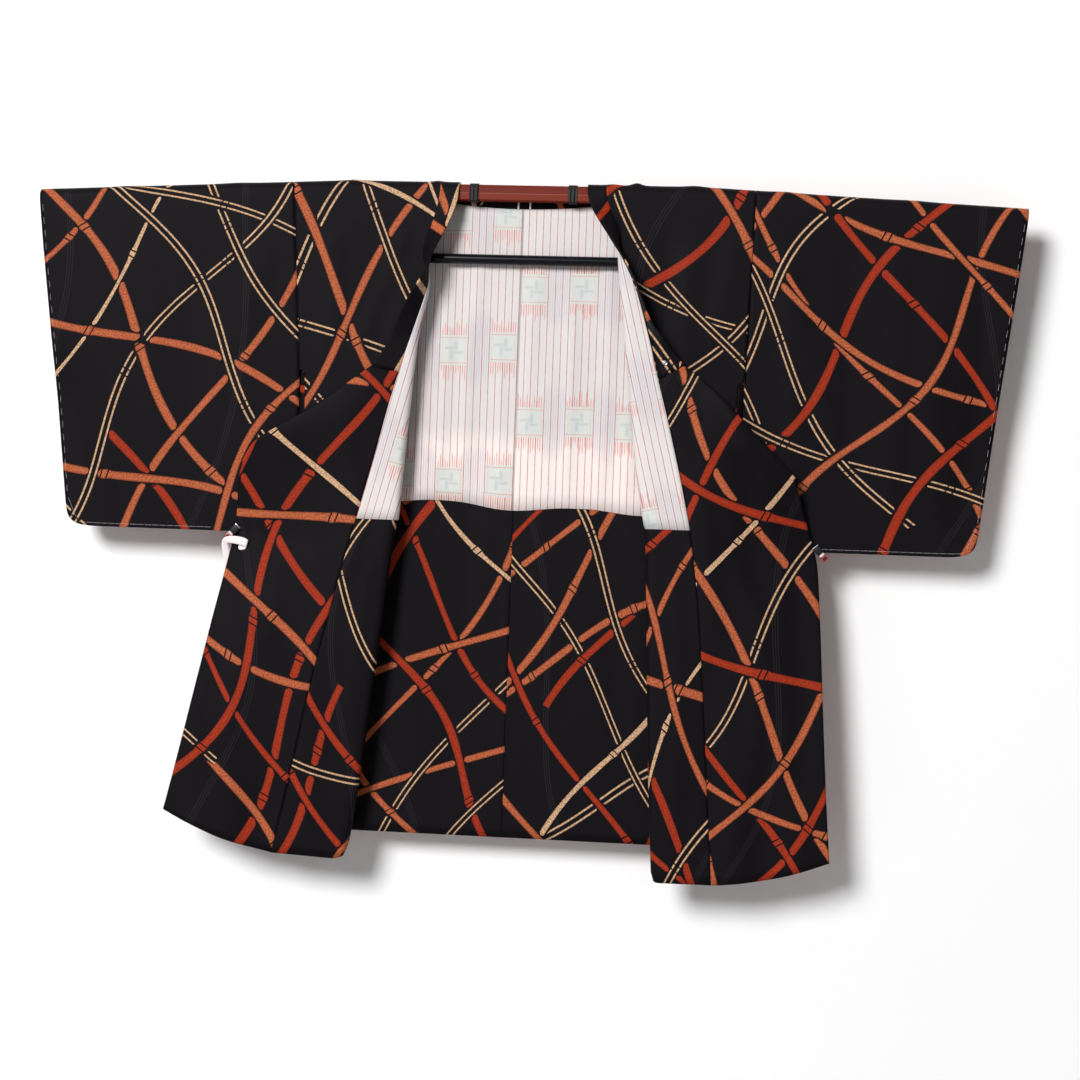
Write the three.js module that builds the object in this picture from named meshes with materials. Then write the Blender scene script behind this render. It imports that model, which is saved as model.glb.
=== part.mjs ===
// A michiyuki half-coat, opened and hung flat on a straight hanger rod.
// Millimetres, +Z up, +X to the viewer's right, the front of the coat faces -Y.
// The origin is the middle of the rod, where the hanger is held.
import * as THREE from 'three';

// ---------- driving sizes ----------
const CLOTH = 2.0;              // wall of a lined silk panel
const LINING = 1.2;             // wall of the lining alone
const GAP = 0.3;                // between two pieces at a seam
const ROD_REACH = 11.5;         // farthest corner of the rod from its axis
const LIE = ROD_REACH + GAP + CLOTH / 2;   // middle of the cloth from the rod's axis
const QUARTER = LIE * Math.PI / 2;         // cloth from the top of the rod to its side

const ROD = { halfDepth: 8.5, chamferHeight: 5, topHalf: 3.6, top: 10.4, bottom: -11, corner: 1 };
const ROD_CENTRE_HALF = 239.5;  // level middle length of the rod
const ARM_START = 240.4;
const ARM_END = 640;
const ARM_DROOP = THREE.MathUtils.degToRad(2.7);
const DROOP_FADE = 220;         // below this drop the cloth no longer follows the arms
const BAND_AT = 67;
const BAND_WIDTH = 12;
const OBI_BAR = { drop: 90, radius: 6.75, half: 150, strutAt: 144, strutRadius: 2 };

const SLEEVE_DROP = 470;        // sleeve bottom below the rod's axis
const CUFF_DROP = 235;          // the cuff is open down to here
const CUFF_TOP = 670;           // half of the coat's width at the top of the cuffs
const CUFF_LEAN = 0.1134;       // the sleeve's outer edge comes in this much for each mm
const SLEEVE_CORNER = 16;
const HEM_BACK = 872;
const NECK_DROP = 20;           // middle of the back neck below the rod's axis
const NECK_RISE = 8;            // the back neck line rises this much towards the shoulders
const NECK_HALF = 113;          // collar seam from the middle at the shoulder
const TAB = 6.3;                // width of the columns that later become the roll and strip
const LINING_DROP = 423;        // bottom of the back lining
const STRIP_LINING_DROP = 447;  // bottom of the lining on the turned fronts
const GUSSET_TOP = 247;         // the sleeve seam ends here
const GUSSET_START = 250;       // first row of the body beside the gusset
const GUSSET_TURN = 6;          // gusset cloth on the front and on the back at its top
const GUSSET_FLARE = 28;        // the same at the hem

// ---------- tables, a row for each section ----------
const table = (columns, ...rows) => rows.map(
  (row) => Object.fromEntries(columns.map((name, k) => [name, row[k]])));

// How each front is opened: 'start' is where the cloth begins to roll, 'arc' the cloth in
// the roll, 'turn' how far it has turned, 'strip' the flat cloth beyond the roll up to the
// overlap seam; 'band' and 'width' give the collar band's own direction and width there.
const ROLL_COLUMNS = ['drop', 'start', 'arc', 'turn', 'strip', 'band', 'width'];
const ROLL = {
  left: table(ROLL_COLUMNS,
    [0, 119, 4, 0, 2.3, 0, 25],
    [15, 120, 4, 2, 2.3, 2, 25],
    [40, 126, 4, 15, 2, 15, 25],
    [72, 134, 4, 42, 2, 42, 25],
    [88, 135, 4, 58, 2, 58, 25],
    [103, 129.7, 5, 76, 2, 76, 25],
    [125, 126.2, 8, 110, 2, 110, 25],
    [150, 130.5, 11, 140, 2, 140, 25],
    [180, 137, 14, 162, 2.9, 162, 25],
    [200, 141, 15, 172, 3.7, 172, 26],
    [225, 143, 15.7, 178, 9.2, 174, 30],
    [247, 145.3, 16.5, 180, 12.7, 172, 37],
    [295, 149, 18.8, 180, 22, 180, 0],
    [338, 152.8, 19.8, 180, 27.7, 180, 0],
    [385, 156.3, 21.4, 180, 35.7, 180, 0],
    [447, 160.5, 23.6, 180, 47, 180, 0],
    [500, 169.2, 25.1, 180, 52.8, 180, 0],
    [569, 174.3, 26, 180, 64.7, 180, 0],
    [677, 187.3, 26, 180, 75.7, 180, 0],
    [809, 200, 23.6, 180, 88.5, 180, 0],
    [903, 214, 22, 180, 94.5, 180, 0]),
  right: table(ROLL_COLUMNS,
    [0, 119, 4, 0, 2.3, 0, 25],
    [15, 123, 4, 2, 2.3, 8, 25],
    [35, 132, 4, 10, 2, 30, 25],
    [52, 137, 4, 45, 2, 52, 25],
    [77, 137, 7.7, 110, 2.5, 85, 25],
    [90, 138, 11.5, 150, 7.2, 92, 25],
    [123, 142, 15, 172, 18.9, 92, 25],
    [164, 148.3, 16.5, 178, 23.9, 96, 25],
    [182, 150.7, 17, 180, 26.2, 110, 25],
    [200, 153, 17.6, 180, 28.5, 135, 25],
    [222, 156, 18.8, 180, 30.5, 150, 27],
    [247, 159.5, 19.8, 180, 32.9, 160, 36],
    [295, 165.5, 21.4, 180, 39.5, 180, 0],
    [338, 171.5, 23.6, 180, 44.5, 180, 0],
    [385, 177.5, 25.1, 180, 50.5, 180, 0],
    [447, 190, 25.1, 180, 51.5, 180, 0],
    [500, 192.5, 25.1, 180, 57, 180, 0],
    [569, 196, 25.1, 180, 62.5, 180, 0],
    [677, 200.5, 25.1, 180, 67, 180, 0],
    [809, 207, 23.6, 180, 70.5, 180, 0],
    [916, 214, 22, 180, 72.5, 180, 0]),
};

// The overlap panel: each row runs from the seam at 'seamDrop' to the outer edge, first
// along the diagonal fold at its turned-under corner and then down the free edge.
const OVERLAP_COLUMNS = ['seamDrop', 'outerX', 'outerDrop', 'outerY', 'bulge', 'under'];
const OVERLAP = {
  left: table(OVERLAP_COLUMNS,
    [248, 195.3, 241.2, -28.8, 0, 14],
    [270, 234, 271, -31.5, 2, 42],
    [295, 289, 310, -34, 4, 60],
    [318, 341, 338, -32, 5, 48],
    [338, 357, 352, -29, 5, 26],
    [360, 369, 376, -24, 5, 8],
    [385, 375, 396, -18, 5, 0],
    [447, 376.5, 450, -8.5, 5, 0],
    [474, 380, 475, -6, 5, 0],
    [500, 385, 498, -8, 5, 0],
    [569, 398, 565, -18, 4, 0],
    [677, 423, 680, -25, 3, 0],
    [809, 450, 808, -26, 3, 0],
    [903, 461, 852, -26, 3, 0]),
  right: table(OVERLAP_COLUMNS,
    [248, 226.4, 230.6, -38.1, 0, 14],
    [265, 266, 258, -43, 3, 42],
    [295, 304, 299, -46, 6, 60],
    [325, 342, 337, -43, 8, 50],
    [338, 360, 355, -39, 8, 34],
    [362, 378, 374, -32, 8, 8],
    [385, 384, 398, -25, 7, 0],
    [447, 399, 448, -10, 6, 0],
    [474, 408, 472, -6, 5, 0],
    [500, 412.5, 496, -8, 5, 0],
    [569, 418, 570, -18, 4, 0],
    [677, 425, 677, -24, 3, 0],
    [809, 434, 806, -26, 3, 0],
    [916, 441, 879, -26, 3, 0]),
};

// Where the sleeve seam and, below it, the side of the coat lie from the middle.
const SIDE = {
  left: table(['drop', 'x'], [0, 313], [GUSSET_TOP, 297], [447, 297], [884, 354]),
  right: table(['drop', 'x'], [0, 313], [GUSSET_TOP, 306], [447, 306], [888, 361]),
};
const SIDE_HEM = { left: 884, right: 888 };   // drop of the front hem at the side seam
const FRONT_HEM = { left: 908, right: 917 };  // drop of the front hem at the fold
const OVERLAP_SAG = 7;          // the overlap's hem hangs this much below a straight line

// The collar band where it comes over the shoulder, laid out flat: across from the middle,
// and along the cloth from the top of the rod (the back is minus).
const SEAM_X = NECK_HALF - 2 * GAP;
const SHOULDER_COLLAR = table(['seamX', 'seamAlong', 'freeX', 'freeAlong'],
  [SEAM_X + TAB - GAP, -QUARTER - 4.2, 86, -9],
  [SEAM_X, -QUARTER - 1.2, 87, -7],
  [SEAM_X, -13, 87.4, -3],
  [SEAM_X, -6.5, 87.4, 0],
  [SEAM_X, 0, 87.4, 4],
  [SEAM_X, 6.5, 87.4, 8],
  [SEAM_X, 13, 87.4, 13]);

const SIGN = { left: -1, right: 1 };
const SIDES = ['left', 'right'];

// ---------- helpers ----------
const lerp = THREE.MathUtils.lerp;

// Reads a named column of a table at any value of its first column.
function readTable(rows, key, at, column) {
  if (at <= rows[0][key]) return rows[0][column];
  for (let k = 1; k < rows.length; k += 1) {
    if (at <= rows[k][key]) {
      const part = (at - rows[k - 1][key]) / (rows[k][key] - rows[k - 1][key]);
      return lerp(rows[k - 1][column], rows[k][column], part);
    }
  }
  return rows[rows.length - 1][column];
}

const sideX = (side, drop) => readTable(SIDE[side], 'drop', drop, 'x');

// The rod's axis is level in the middle and droops along the arms.
function axisHeight(x) {
  return -Math.max(0, Math.abs(x) - ARM_START) * Math.tan(ARM_DROOP);
}

// Height of a point of hanging cloth; the droop of the arms fades out lower down.
function height(x, drop) {
  return axisHeight(x) * Math.max(0, 1 - drop / DROOP_FADE) - drop;
}

// A point of cloth laid over the rod, 'along' from the rod's top, minus to the back.
function overRod(x, along) {
  const angle = THREE.MathUtils.clamp(along / LIE, -Math.PI / 2, Math.PI / 2);
  const drop = Math.max(0, Math.abs(along) - QUARTER);
  const y = -LIE * Math.sin(angle);
  if (drop > 0) return new THREE.Vector3(x, y, height(x, drop));
  return new THREE.Vector3(x, y, axisHeight(x) + LIE * Math.cos(angle));
}

const everyCell = () => true;

// Unit normals of a grid of points, from the cells that are there.
function gridNormals(points, present = everyCell) {
  const normals = points.map((row) => row.map(() => new THREE.Vector3()));
  for (let i = 0; i + 1 < points.length; i += 1) {
    for (let j = 0; j + 1 < points[i].length; j += 1) {
      if (!present(i, j)) continue;
      const across = points[i][j + 1].clone().sub(points[i + 1][j]);
      const along = points[i + 1][j + 1].clone().sub(points[i][j]);
      const cell = across.cross(along).normalize();
      [[i, j], [i, j + 1], [i + 1, j], [i + 1, j + 1]].forEach(([r, c]) => normals[r][c].add(cell));
    }
  }
  normals.forEach((row) => row.forEach((normal) => normal.normalize()));
  return normals;
}

// Moves a grid of points along its own normals.
function moveOut(points, distance, present = everyCell) {
  const normals = gridNormals(points, present);
  return points.map((row, i) => row.map((p, j) => p.clone().addScaledVector(normals[i][j], distance)));
}

// A closed wall of cloth on a grid of points through its middle.
function clothWall(points, thickness, present = everyCell) {
  const upper = moveOut(points, thickness / 2, present);
  const lower = moveOut(points, -thickness / 2, present);
  const positions = [];
  const triangle = (a, b, c) => [a, b, c].forEach((p) => positions.push(p.x, p.y, p.z));
  const quad = (a, b, c, d) => {
    triangle(a, b, c);
    triangle(a, c, d);
  };
  const rim = (i, j, k, l) => quad(upper[k][l], upper[i][j], lower[i][j], lower[k][l]);
  const rows = points.length - 1;
  const columns = points[0].length - 1;
  const there = (i, j) => i >= 0 && j >= 0 && i < rows && j < columns && present(i, j);
  for (let i = 0; i < rows; i += 1) {
    for (let j = 0; j < columns; j += 1) {
      if (!there(i, j)) continue;
      quad(upper[i][j], upper[i + 1][j], upper[i + 1][j + 1], upper[i][j + 1]);
      quad(lower[i][j], lower[i][j + 1], lower[i + 1][j + 1], lower[i + 1][j]);
      if (!there(i, j - 1)) rim(i, j, i + 1, j);
      if (!there(i + 1, j)) rim(i + 1, j, i + 1, j + 1);
      if (!there(i, j + 1)) rim(i + 1, j + 1, i, j + 1);
      if (!there(i - 1, j)) rim(i, j + 1, i, j);
    }
  }
  const geometry = new THREE.BufferGeometry();
  geometry.setAttribute('position', new THREE.Float32BufferAttribute(positions, 3));
  geometry.computeVertexNormals();
  return facingOut(geometry);
}

// Turns a closed mesh's triangles round if they face inwards.
function facingOut(geometry) {
  const p = geometry.attributes.position;
  const [a, b, c] = [new THREE.Vector3(), new THREE.Vector3(), new THREE.Vector3()];
  let volume = 0;
  for (let k = 0; k < p.count; k += 3) {
    a.fromBufferAttribute(p, k);
    b.fromBufferAttribute(p, k + 1);
    c.fromBufferAttribute(p, k + 2);
    volume += a.dot(b.cross(c));
  }
  if (volume > 0) return geometry;
  for (let k = 0; k < p.count; k += 3) {
    b.fromBufferAttribute(p, k + 1);
    c.fromBufferAttribute(p, k + 2);
    p.setXYZ(k + 1, c.x, c.y, c.z);
    p.setXYZ(k + 2, b.x, b.y, b.z);
  }
  geometry.computeVertexNormals();
  return geometry;
}

const coat = new THREE.Group();

const FINISH = {
  silk: { color: 0x1b1a1d, roughness: 0.62, metalness: 0 },
  lining: { color: 0xebe6e4, roughness: 0.7, metalness: 0 },
  rod: { color: 0x7a3021, roughness: 0.4, metalness: 0 },
  wrap: { color: 0x17181a, roughness: 0.6, metalness: 0 },
  bar: { color: 0x1c1e21, roughness: 0.45, metalness: 0 },
  clip: { color: 0x202022, roughness: 0.4, metalness: 0.2 },
  metal: { color: 0xc9c9cc, roughness: 0.3, metalness: 0.9 },
};

function add(name, geometry, finish) {
  const mesh = new THREE.Mesh(geometry, new THREE.MeshStandardMaterial(FINISH[finish]));
  mesh.name = name;
  coat.add(mesh);
  return mesh;
}

// ---------- the hanger ----------
// The rod's section is a flat-sided bar with its two upper edges cut off at a slant.
function rodSection() {
  const { halfDepth, chamferHeight, topHalf, top, bottom, corner } = ROD;
  const outline = [
    [halfDepth - corner, bottom], [halfDepth, bottom + corner], [halfDepth, chamferHeight],
    [topHalf, top], [-topHalf, top], [-halfDepth, chamferHeight],
    [-halfDepth, bottom + corner], [corner - halfDepth, bottom]];
  return new THREE.Shape(outline.map(([y, z]) => new THREE.Vector2(y, z)));
}

// A length of rod along +X from the origin.
function rodLength(length) {
  const bar = new THREE.ExtrudeGeometry(rodSection(), { depth: length, bevelEnabled: false });
  bar.rotateY(Math.PI / 2);
  bar.rotateX(Math.PI / 2);
  return bar;
}

add('hanger_rod_centre', rodLength(2 * ROD_CENTRE_HALF), 'rod').position.x = -ROD_CENTRE_HALF;
SIDES.forEach((side) => {
  const arm = add(`hanger_arm_${side}`, rodLength(ARM_END - ARM_START), 'rod');
  arm.position.x = SIGN[side] * ARM_START;
  arm.rotation.set(0, ARM_DROOP, side === 'left' ? Math.PI : 0, 'ZYX');
});

// Black wrapping near the neck, a sleeve of the rod's own section.
function rodWrap() {
  const outer = rodSection();
  const grow = 1 + 1.6 / ROD_REACH;
  const clear = 1 + GAP / ROD.halfDepth;
  const outline = outer.getPoints();
  const skin = new THREE.Shape(outline.map((p) => new THREE.Vector2(p.x * grow * 1.03, p.y * grow)));
  skin.holes.push(new THREE.Path(outline.map((p) => new THREE.Vector2(p.x * clear, p.y * clear))));
  const wrap = new THREE.ExtrudeGeometry(skin, { depth: BAND_WIDTH, bevelEnabled: false });
  wrap.rotateY(Math.PI / 2);
  wrap.rotateX(Math.PI / 2);
  return wrap;
}
SIDES.forEach((side) => {
  const wrap = add(`hanger_band_${side}`, rodWrap(), 'wrap');
  wrap.position.x = SIGN[side] * BAND_AT - BAND_WIDTH / 2;
});

// The lower bar for a sash, on two thin struts that the coat's fronts hide.
const bar = new THREE.CylinderGeometry(OBI_BAR.radius, OBI_BAR.radius, 2 * OBI_BAR.half, 24);
bar.rotateZ(Math.PI / 2);
add('obi_bar', bar, 'bar').position.z = -OBI_BAR.drop;
SIDES.forEach((side) => {
  const top = ROD.bottom - GAP;
  const bottom = OBI_BAR.radius + GAP - OBI_BAR.drop;
  const strut = new THREE.CylinderGeometry(OBI_BAR.strutRadius, OBI_BAR.strutRadius, top - bottom, 10);
  strut.rotateX(Math.PI / 2);
  add(`obi_bar_strut_${side}`, strut, 'bar').position.set(
    SIGN[side] * OBI_BAR.strutAt, 0, (top + bottom) / 2);
});

// ---------- the two body lengths ----------
const FLAT_COLUMNS = 7;         // side edge to the roll
const ARC_COLUMNS = 4;
const STRIP_COLUMNS = 3;
const COLUMNS = FLAT_COLUMNS + ARC_COLUMNS + STRIP_COLUMNS;
const BACK_DROPS = [780, 680, 580, 500, 447, LINING_DROP, 340, GUSSET_START, GUSSET_TOP, 150, 70];
const SHOULDER = [-QUARTER, -13, -6.5, 0, 6.5, 13, QUARTER];

// How much of the gusset lies on the front, and as much on the back, at a drop.
function gussetTurn(side, drop) {
  const down = (drop - GUSSET_TOP) / (SIDE_HEM[side] - GUSSET_TOP);
  return lerp(GUSSET_TURN, GUSSET_FLARE, THREE.MathUtils.clamp(down, 0, 1));
}

// The side edge of a body length: the sleeve seam, and below it the gusset seam.
function bodySide(side, drop) {
  if (drop <= GUSSET_TOP) return sideX(side, drop) - GAP;
  return sideX(side, drop) - CLOTH / 2 - 2 * GAP - gussetTurn(side, drop);
}

function neckAlong(x) {
  return -QUARTER - NECK_DROP + NECK_RISE * Math.min(1, (x / NECK_HALF) ** 2);
}

// Distances from the middle of one row of the back, from the side to the centre seam.
function backColumns(edge) {
  const inner = NECK_HALF + TAB;
  return Array.from({ length: COLUMNS + 1 }, (_, j) => {
    if (j <= FLAT_COLUMNS) return lerp(edge, inner, j / FLAT_COLUMNS);
    return lerp(inner, GAP / 2, (j - FLAT_COLUMNS) / (ARC_COLUMNS + STRIP_COLUMNS));
  });
}

function readRoll(side, drop) {
  const read = (column) => readTable(ROLL[side], 'drop', drop, column);
  return {
    start: read('start'),
    arc: read('arc'),
    turn: THREE.MathUtils.degToRad(read('turn')),
    strip: read('strip'),
    band: THREE.MathUtils.degToRad(read('band')),
    width: read('width'),
  };
}

// Distance from the middle and depth of the rolled edge, 'along' past where the roll starts.
function rollPoint(roll, along) {
  const angle = roll.turn * Math.min(1, along / roll.arc);
  const straight = Math.max(0, along - roll.arc);
  if (roll.turn < 0.01) return { x: roll.start - along, y: -LIE };
  const radius = roll.arc / roll.turn;
  return {
    x: roll.start - radius * Math.sin(angle) - straight * Math.cos(roll.turn),
    y: -LIE - radius * (1 - Math.cos(angle)) - straight * Math.sin(roll.turn),
  };
}

// How far along the roll and strip each of the last columns lies.
function rollColumns(roll) {
  const arc = Array.from({ length: ARC_COLUMNS }, (_, k) => roll.arc * (k + 1) / ARC_COLUMNS);
  const strip = Array.from({ length: STRIP_COLUMNS },
    (_, k) => roll.arc + roll.strip * (k + 1) / STRIP_COLUMNS);
  return [...arc, ...strip];
}

// One row of the front: flat from the side, round the roll, and back along the strip.
// The hem row has its own drops at the side and at the fold.
function frontRow(side, drop, sideDrop = drop, foldDrop = drop) {
  const sign = SIGN[side];
  const roll = readRoll(side, drop);
  const edge = bodySide(side, sideDrop);
  const row = [];
  for (let j = 0; j <= FLAT_COLUMNS; j += 1) {
    const part = j / FLAT_COLUMNS;
    const x = lerp(edge, roll.start, part);
    row.push(new THREE.Vector3(sign * x, -LIE, height(x, lerp(sideDrop, foldDrop, part))));
  }
  rollColumns(roll).forEach((along) => {
    const p = rollPoint(roll, along);
    const part = along / (roll.arc + roll.strip);
    row.push(new THREE.Vector3(sign * p.x, p.y, height(p.x, lerp(foldDrop, drop, part))));
  });
  return row;
}

// The rows of the front below the shoulder.
const FRONT_DROPS = Object.fromEntries(SIDES.map((side) => [side,
  [...ROLL[side].slice(1).map((row) => row.drop), GUSSET_START].sort((a, b) => a - b)]));

function bodyRows(side) {
  const sign = SIGN[side];
  const rows = [];
  const hang = (x, drop) => new THREE.Vector3(sign * x, LIE, height(x, drop));
  [HEM_BACK, ...BACK_DROPS].forEach((drop) => {
    rows.push(backColumns(bodySide(side, drop)).map((x) => hang(x, drop)));
  });
  rows.push(backColumns(bodySide(side, NECK_DROP)).map((x) => overRod(sign * x, neckAlong(x))));
  SHOULDER.forEach((along) => {
    const roll = readRoll(side, 0);
    const edge = bodySide(side, 0);
    const flat = Array.from({ length: FLAT_COLUMNS + 1 },
      (_, j) => lerp(edge, roll.start, j / FLAT_COLUMNS));
    const tab = rollColumns(roll).map((past) => roll.start - past);
    rows.push([...flat, ...tab].map((x) => overRod(sign * x, along)));
  });
  const drops = [...FRONT_DROPS[side]];
  const hem = drops.pop();
  drops.forEach((drop) => rows.push(frontRow(side, drop)));
  rows.push(frontRow(side, hem, SIDE_HEM[side], FRONT_HEM[side]));
  return rows;
}

const NECK_ROW = 1 + BACK_DROPS.length;       // the row along the back neck line
// Between the back neck line and the shoulder only the flat columns are there.
const bodyCell = (i, j) => i !== NECK_ROW || j < FLAT_COLUMNS;

const body = Object.fromEntries(SIDES.map((side) => [side, bodyRows(side)]));
SIDES.forEach((side) => add(`body_${side}`, clothWall(body[side], CLOTH, bodyCell), 'silk'));

// ---------- linings ----------
const LINING_OFF = CLOTH / 2 + GAP + LINING / 2;
// The inside of the coat lies on one side of the body grid, which side depends on left or right.
const INSIDE = { left: 1, right: -1 };

const STRIP_TOP = { left: 103, right: 77 };    // where the turned front's lining begins to show
const BAND_CLEAR = 2.6;         // lining left off where the band stands straight up

// Stops the strip lining short of the seam where the collar band stands up from it.
function shortened(row, roll) {
  const last = row[row.length - 1];
  const back = row[row.length - 2].clone().sub(last);
  const cut = BAND_CLEAR * Math.abs(Math.sin(roll.band - roll.turn));
  return [...row.slice(0, -1), last.clone().addScaledVector(back.normalize(), cut)];
}

SIDES.forEach((side) => {
  const inside = moveOut(body[side], INSIDE[side] * LINING_OFF, bodyCell);
  const first = 1 + BACK_DROPS.indexOf(LINING_DROP);
  const back = inside.slice(first, NECK_ROW + 1);
  add(`lining_back_${side}`, clothWall(back, LINING), 'lining');

  const frontStart = NECK_ROW + SHOULDER.length + 1;
  const isTurned = (drop) => drop >= STRIP_TOP[side] && drop <= STRIP_LINING_DROP;
  const drops = FRONT_DROPS[side].filter(isTurned);
  const turned = drops.map((drop) => {
    const row = inside[frontStart + FRONT_DROPS[side].indexOf(drop)];
    return shortened(row.slice(FLAT_COLUMNS + 1), readRoll(side, drop));
  });
  add(`lining_front_${side}`, clothWall(turned, LINING), 'lining');
});

// ---------- collar band ----------
const COLLAR_COLUMNS = 4;
const ROOT_CLEAR = 1.7;         // added at the seam where the band stands up from the front

// Where the collar band starts beside the front's edge, and the way it points.
function frontCollarRow(side, drop) {
  const sign = SIGN[side];
  const roll = readRoll(side, drop);
  const edge = rollPoint(roll, roll.arc + roll.strip);
  const away = GAP + ROOT_CLEAR * Math.abs(Math.sin(roll.band - roll.turn));
  const mitre = readTable(MITRE[side], 'drop', drop, 'lift');
  return Array.from({ length: COLLAR_COLUMNS + 1 }, (_, k) => {
    const part = k / COLLAR_COLUMNS;
    const out = away + roll.width * part;
    const x = edge.x - out * Math.cos(roll.band);
    const y = edge.y - out * Math.sin(roll.band);
    return new THREE.Vector3(sign * x, y, height(x, drop - mitre * part));
  });
}

// Near its lower end the band's free edge runs ahead of its seam, up to the mitre.
const MITRE = {
  left: table(['drop', 'lift'], [0, 0], [200, 0], [225, 3], [247, 7]),
  right: table(['drop', 'lift'], [0, 0], [182, 0], [222, 8], [247, 18]),
};

function backCollarRow(sign, row) {
  return Array.from({ length: COLLAR_COLUMNS + 1 }, (_, k) => {
    const part = k / COLLAR_COLUMNS;
    const x = lerp(row.seamX, row.freeX, part);
    return overRod(sign * x, lerp(row.seamAlong, row.freeAlong, part));
  });
}

// Behind the neck the band stands on the neck line, and its ends draw in to the shoulders.
function neckCollar() {
  const inner = backColumns(bodySide('left', NECK_DROP)).slice(FLAT_COLUMNS).reverse();
  return inner.map((x, k) => {
    const part = k === 0 ? 0 : x / (NECK_HALF + TAB);
    return {
      seamX: k === 0 ? 0 : x - (k === inner.length - 1 ? GAP : 0),
      seamAlong: neckAlong(x) + GAP,
      freeX: 84 * (1 - (1 - part) ** 1.5),
      freeAlong: lerp(-15, -10, part * part),
    };
  });
}

function halfCollar(side) {
  const back = [...neckCollar(), ...SHOULDER_COLLAR].map((row) => backCollarRow(SIGN[side], row));
  const front = ROLL[side].filter((row) => row.width > 0).map((row) => frontCollarRow(side, row.drop));
  return [...back, ...front];
}
const collarRows = [...halfCollar('left').reverse(), ...halfCollar('right').slice(1)];
add('collar', clothWall(collarRows, CLOTH), 'silk');

// ---------- overlap panels ----------
const OVERLAP_CELLS = 6;
const UNDER_RADIUS = 1.7;       // fold of the turned-under corner
const TILT_CLEAR = 0.4;         // added at the seam because the overlap tilts forward

// One row from the seam to the outer edge, and round the fold to the turned-under cloth.
function overlapRow(side, row, isHem) {
  const roll = readRoll(side, row.seamDrop);
  const seam = rollPoint(roll, roll.arc + roll.strip);
  const start = new THREE.Vector3(seam.x + GAP + TILT_CLEAR, seam.y, -row.seamDrop);
  const end = new THREE.Vector3(row.outerX, row.outerY, -row.outerDrop);
  const way = end.clone().sub(start).setY(0).normalize();
  if (row.under > 0) end.addScaledVector(way, -UNDER_RADIUS);
  const points = Array.from({ length: OVERLAP_CELLS + 1 }, (_, k) => {
    const swell = Math.sin(Math.PI * k / OVERLAP_CELLS);
    const p = start.clone().lerp(end, k / OVERLAP_CELLS);
    p.y -= row.bulge * swell;
    if (isHem) p.z -= OVERLAP_SAG * swell;
    return p;
  });
  const behind = new THREE.Vector3(0, UNDER_RADIUS, 0);
  points.push(end.clone().addScaledVector(way, UNDER_RADIUS).add(behind));
  points.push(end.clone().addScaledVector(behind, 2));
  points.push(end.clone().addScaledVector(behind, 2.2).addScaledVector(way, -row.under));
  return points.map((p) => p.setX(SIGN[side] * p.x));
}

SIDES.forEach((side) => {
  const last = OVERLAP[side].length - 1;
  const rows = OVERLAP[side].map((row, i) => overlapRow(side, row, i === last));
  const cell = (i, j) => j < OVERLAP_CELLS || OVERLAP[side][i + 1].under > 0;
  add(`overlap_${side}`, clothWall(rows, CLOTH, cell), 'silk');
});

// ---------- sleeves ----------
const SLEEVE_CELLS = 8;
const SLEEVE_DROPS = [0, 80, 160, CUFF_DROP, 285, 345, 400, 440, 460, SLEEVE_DROP];

function sleeveOuter(drop) {
  const corner = Math.max(0, drop - (SLEEVE_DROP - SLEEVE_CORNER));
  const round = SLEEVE_CORNER - Math.sqrt(SLEEVE_CORNER ** 2 - corner ** 2);
  return CUFF_TOP - CUFF_LEAN * Math.max(0, drop - 7) - round;
}

function sleeveInner(side, drop) {
  return sideX(side, drop) + (drop > GUSSET_TOP ? GAP : 0);
}

// Half of the sleeve's depth: it hangs off the rod and closes at its sewn edges.
function sleeveDepth(x, drop, outer) {
  const closed = (CLOTH + GAP) / 2;
  const hanging = lerp(LIE, closed, Math.max(0, drop / SLEEVE_DROP) ** 1.5);
  if (drop <= CUFF_DROP) return hanging;
  const sewn = THREE.MathUtils.smoothstep(drop, CUFF_DROP, CUFF_DROP + 40);
  const near = 1 - THREE.MathUtils.smoothstep(outer - x, 0, 90);
  return lerp(hanging, closed, sewn * near);
}

function sleeveRow(side, drop, face) {
  const outer = sleeveOuter(drop);
  const inner = sleeveInner(side, drop);
  return Array.from({ length: SLEEVE_CELLS + 1 }, (_, k) => {
    const x = lerp(inner, outer, k / SLEEVE_CELLS);
    const y = face * sleeveDepth(x, drop, outer);
    return new THREE.Vector3(SIGN[side] * x, y, height(x, drop));
  });
}

function sleeveRows(side) {
  const back = [...SLEEVE_DROPS].reverse().map((drop) => sleeveRow(side, drop, 1));
  const over = SHOULDER.slice(1, -1).map((along) => Array.from({ length: SLEEVE_CELLS + 1 }, (_, k) => {
    const x = lerp(sleeveInner(side, 0), sleeveOuter(0), k / SLEEVE_CELLS);
    return overRod(SIGN[side] * x, along);
  }));
  const front = SLEEVE_DROPS.map((drop) => sleeveRow(side, drop, -1));
  return [...back, ...over, ...front];
}
SIDES.forEach((side) => add(`sleeve_${side}`, clothWall(sleeveRows(side), CLOTH), 'silk'));

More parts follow.
